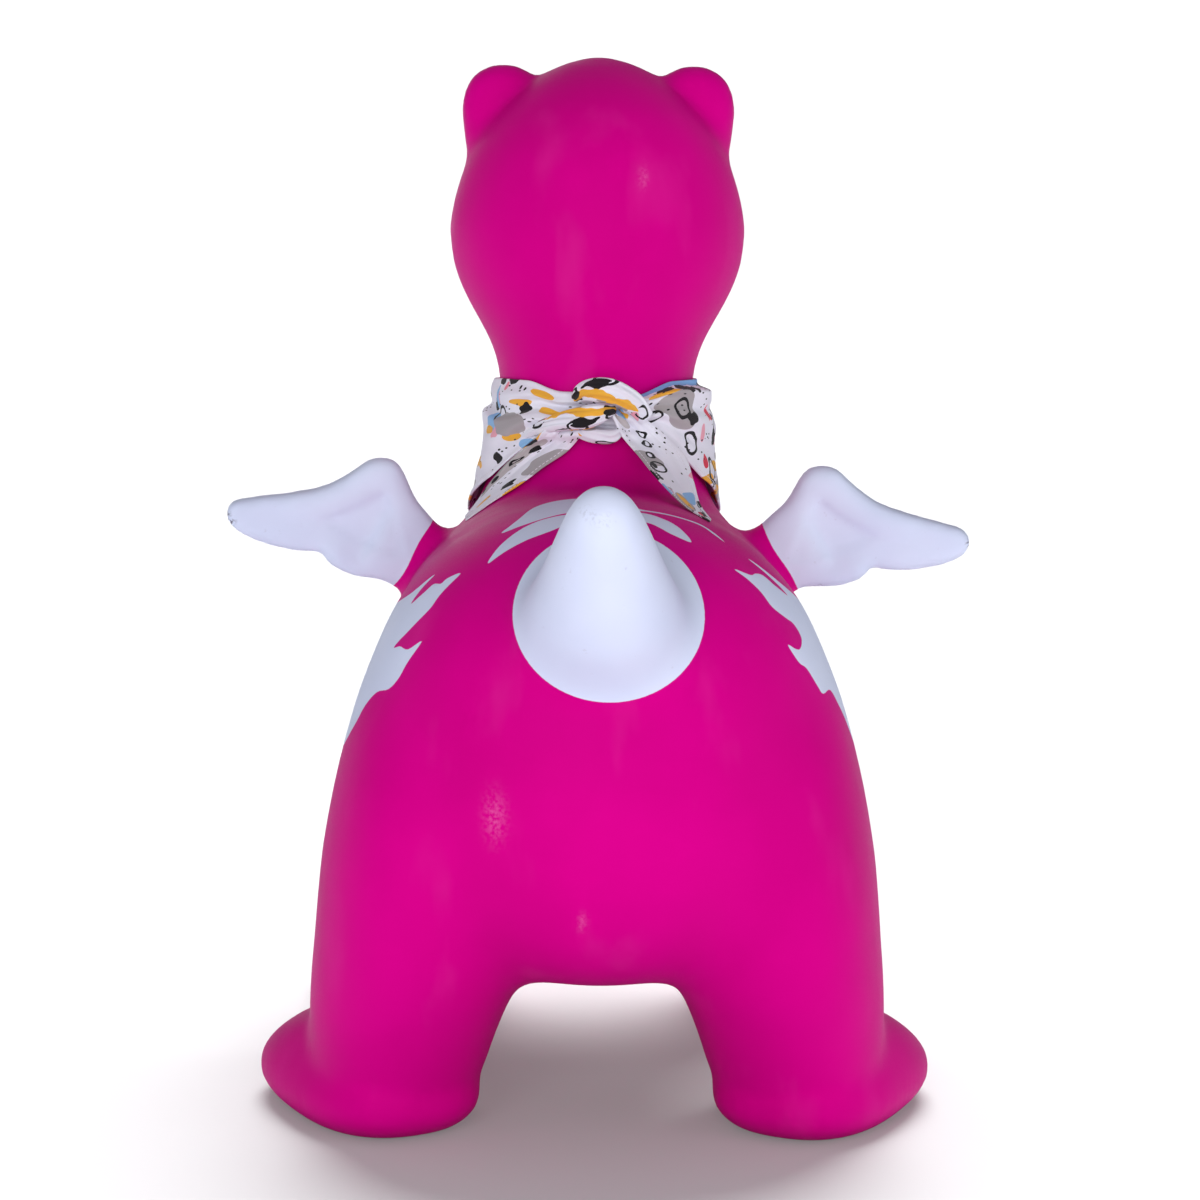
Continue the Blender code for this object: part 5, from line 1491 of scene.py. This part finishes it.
def light_room(room):
    """A pale sky, three soft boxes, a broad front light, and a light that only the floor receives."""
    world = bpy.data.worlds.new("studio")
    bpy.context.scene.world = world
    world.use_nodes = True
    tree = world.node_tree
    seen = add(tree, "ShaderNodeLightPath")["Is Camera Ray"]
    glow = add(tree, "ShaderNodeMapRange", {0: seen, 3: 0.36, 4: 1.1})[0]
    feed(tree, tree.nodes["Background"], {"Color": linear("#F6F6FB"), "Strength": glow})
    for name, place, aim, size, power in (
        ("front_box", (-0.3, -2.6, 0.35), (0, 0, 0.26), 2.2, 43),
        ("right_box", (2.2, -1.4, 0.6), (0, 0, 0.25), 1.4, 10),
        ("far_box", (-0.7, 2.9, 0.9), (0, 0, 0.3), 1.6, 7),
    ):
        lamp = bpy.data.lights.new(name, "AREA")
        lamp.shape = "SQUARE"
        lamp.size = size
        lamp.energy = power
        obj = put(name, lamp)
        obj.location = place
        obj.rotation_mode = "QUATERNION"
        obj.rotation_quaternion = (Vector(aim) - Vector(place)).to_track_quat("-Z", "Y")

    sky_turn_deg = -8
    floor_only = bpy.data.collections.new("floor_only")
    floor_only.objects.link(room)
    for name, energy, angle_deg, lean_deg, lights_floor_only in (
        ("front_sky", 0.4, 40, 74, False),
        ("floor_sky", 5.9, 44, -32, True),
    ):
        lamp = bpy.data.lights.new(name, "SUN")
        lamp.energy, lamp.angle = energy, math.radians(angle_deg)
        obj = put(name, lamp)
        obj.rotation_euler = (math.radians(lean_deg), 0, math.radians(sky_turn_deg))
        if lights_floor_only:
            obj.light_linking.receiver_collection = floor_only


def place_camera():
    """The photograph's view: 2.4 m from a point at mid height, 11 degrees above the level, 1 to the left."""
    azimuth, elevation, roll, distance = math.radians(-1.0), math.radians(11.0), math.radians(0.6), 2.4
    picture_wide, focal_pixels, shift_pixels, sensor, middle_height = 1200, 4248, 600 - 597.8, 36.0, 0.272
    away, up = math.cos(elevation), math.sin(elevation)
    back = Vector((math.sin(azimuth) * away, -math.cos(azimuth) * away, up))
    lens = bpy.data.cameras.new("camera")
    lens.sensor_width = sensor
    lens.lens = sensor * focal_pixels / picture_wide
    lens.shift_x = shift_pixels / picture_wide
    lens.clip_start, lens.clip_end = 0.1, 100
    camera = put("camera", lens)
    camera.rotation_mode = "QUATERNION"
    turn = (-back).to_track_quat("-Z", "Y").to_matrix().to_4x4() @ Matrix.Rotation(roll, 4, "Z")
    camera.location = Vector((0, 0, middle_height)) + back * distance
    camera.rotation_quaternion = turn.to_quaternion()
    bpy.context.scene.camera = camera


bpy.context.scene.view_settings.view_transform = "Standard"
main()
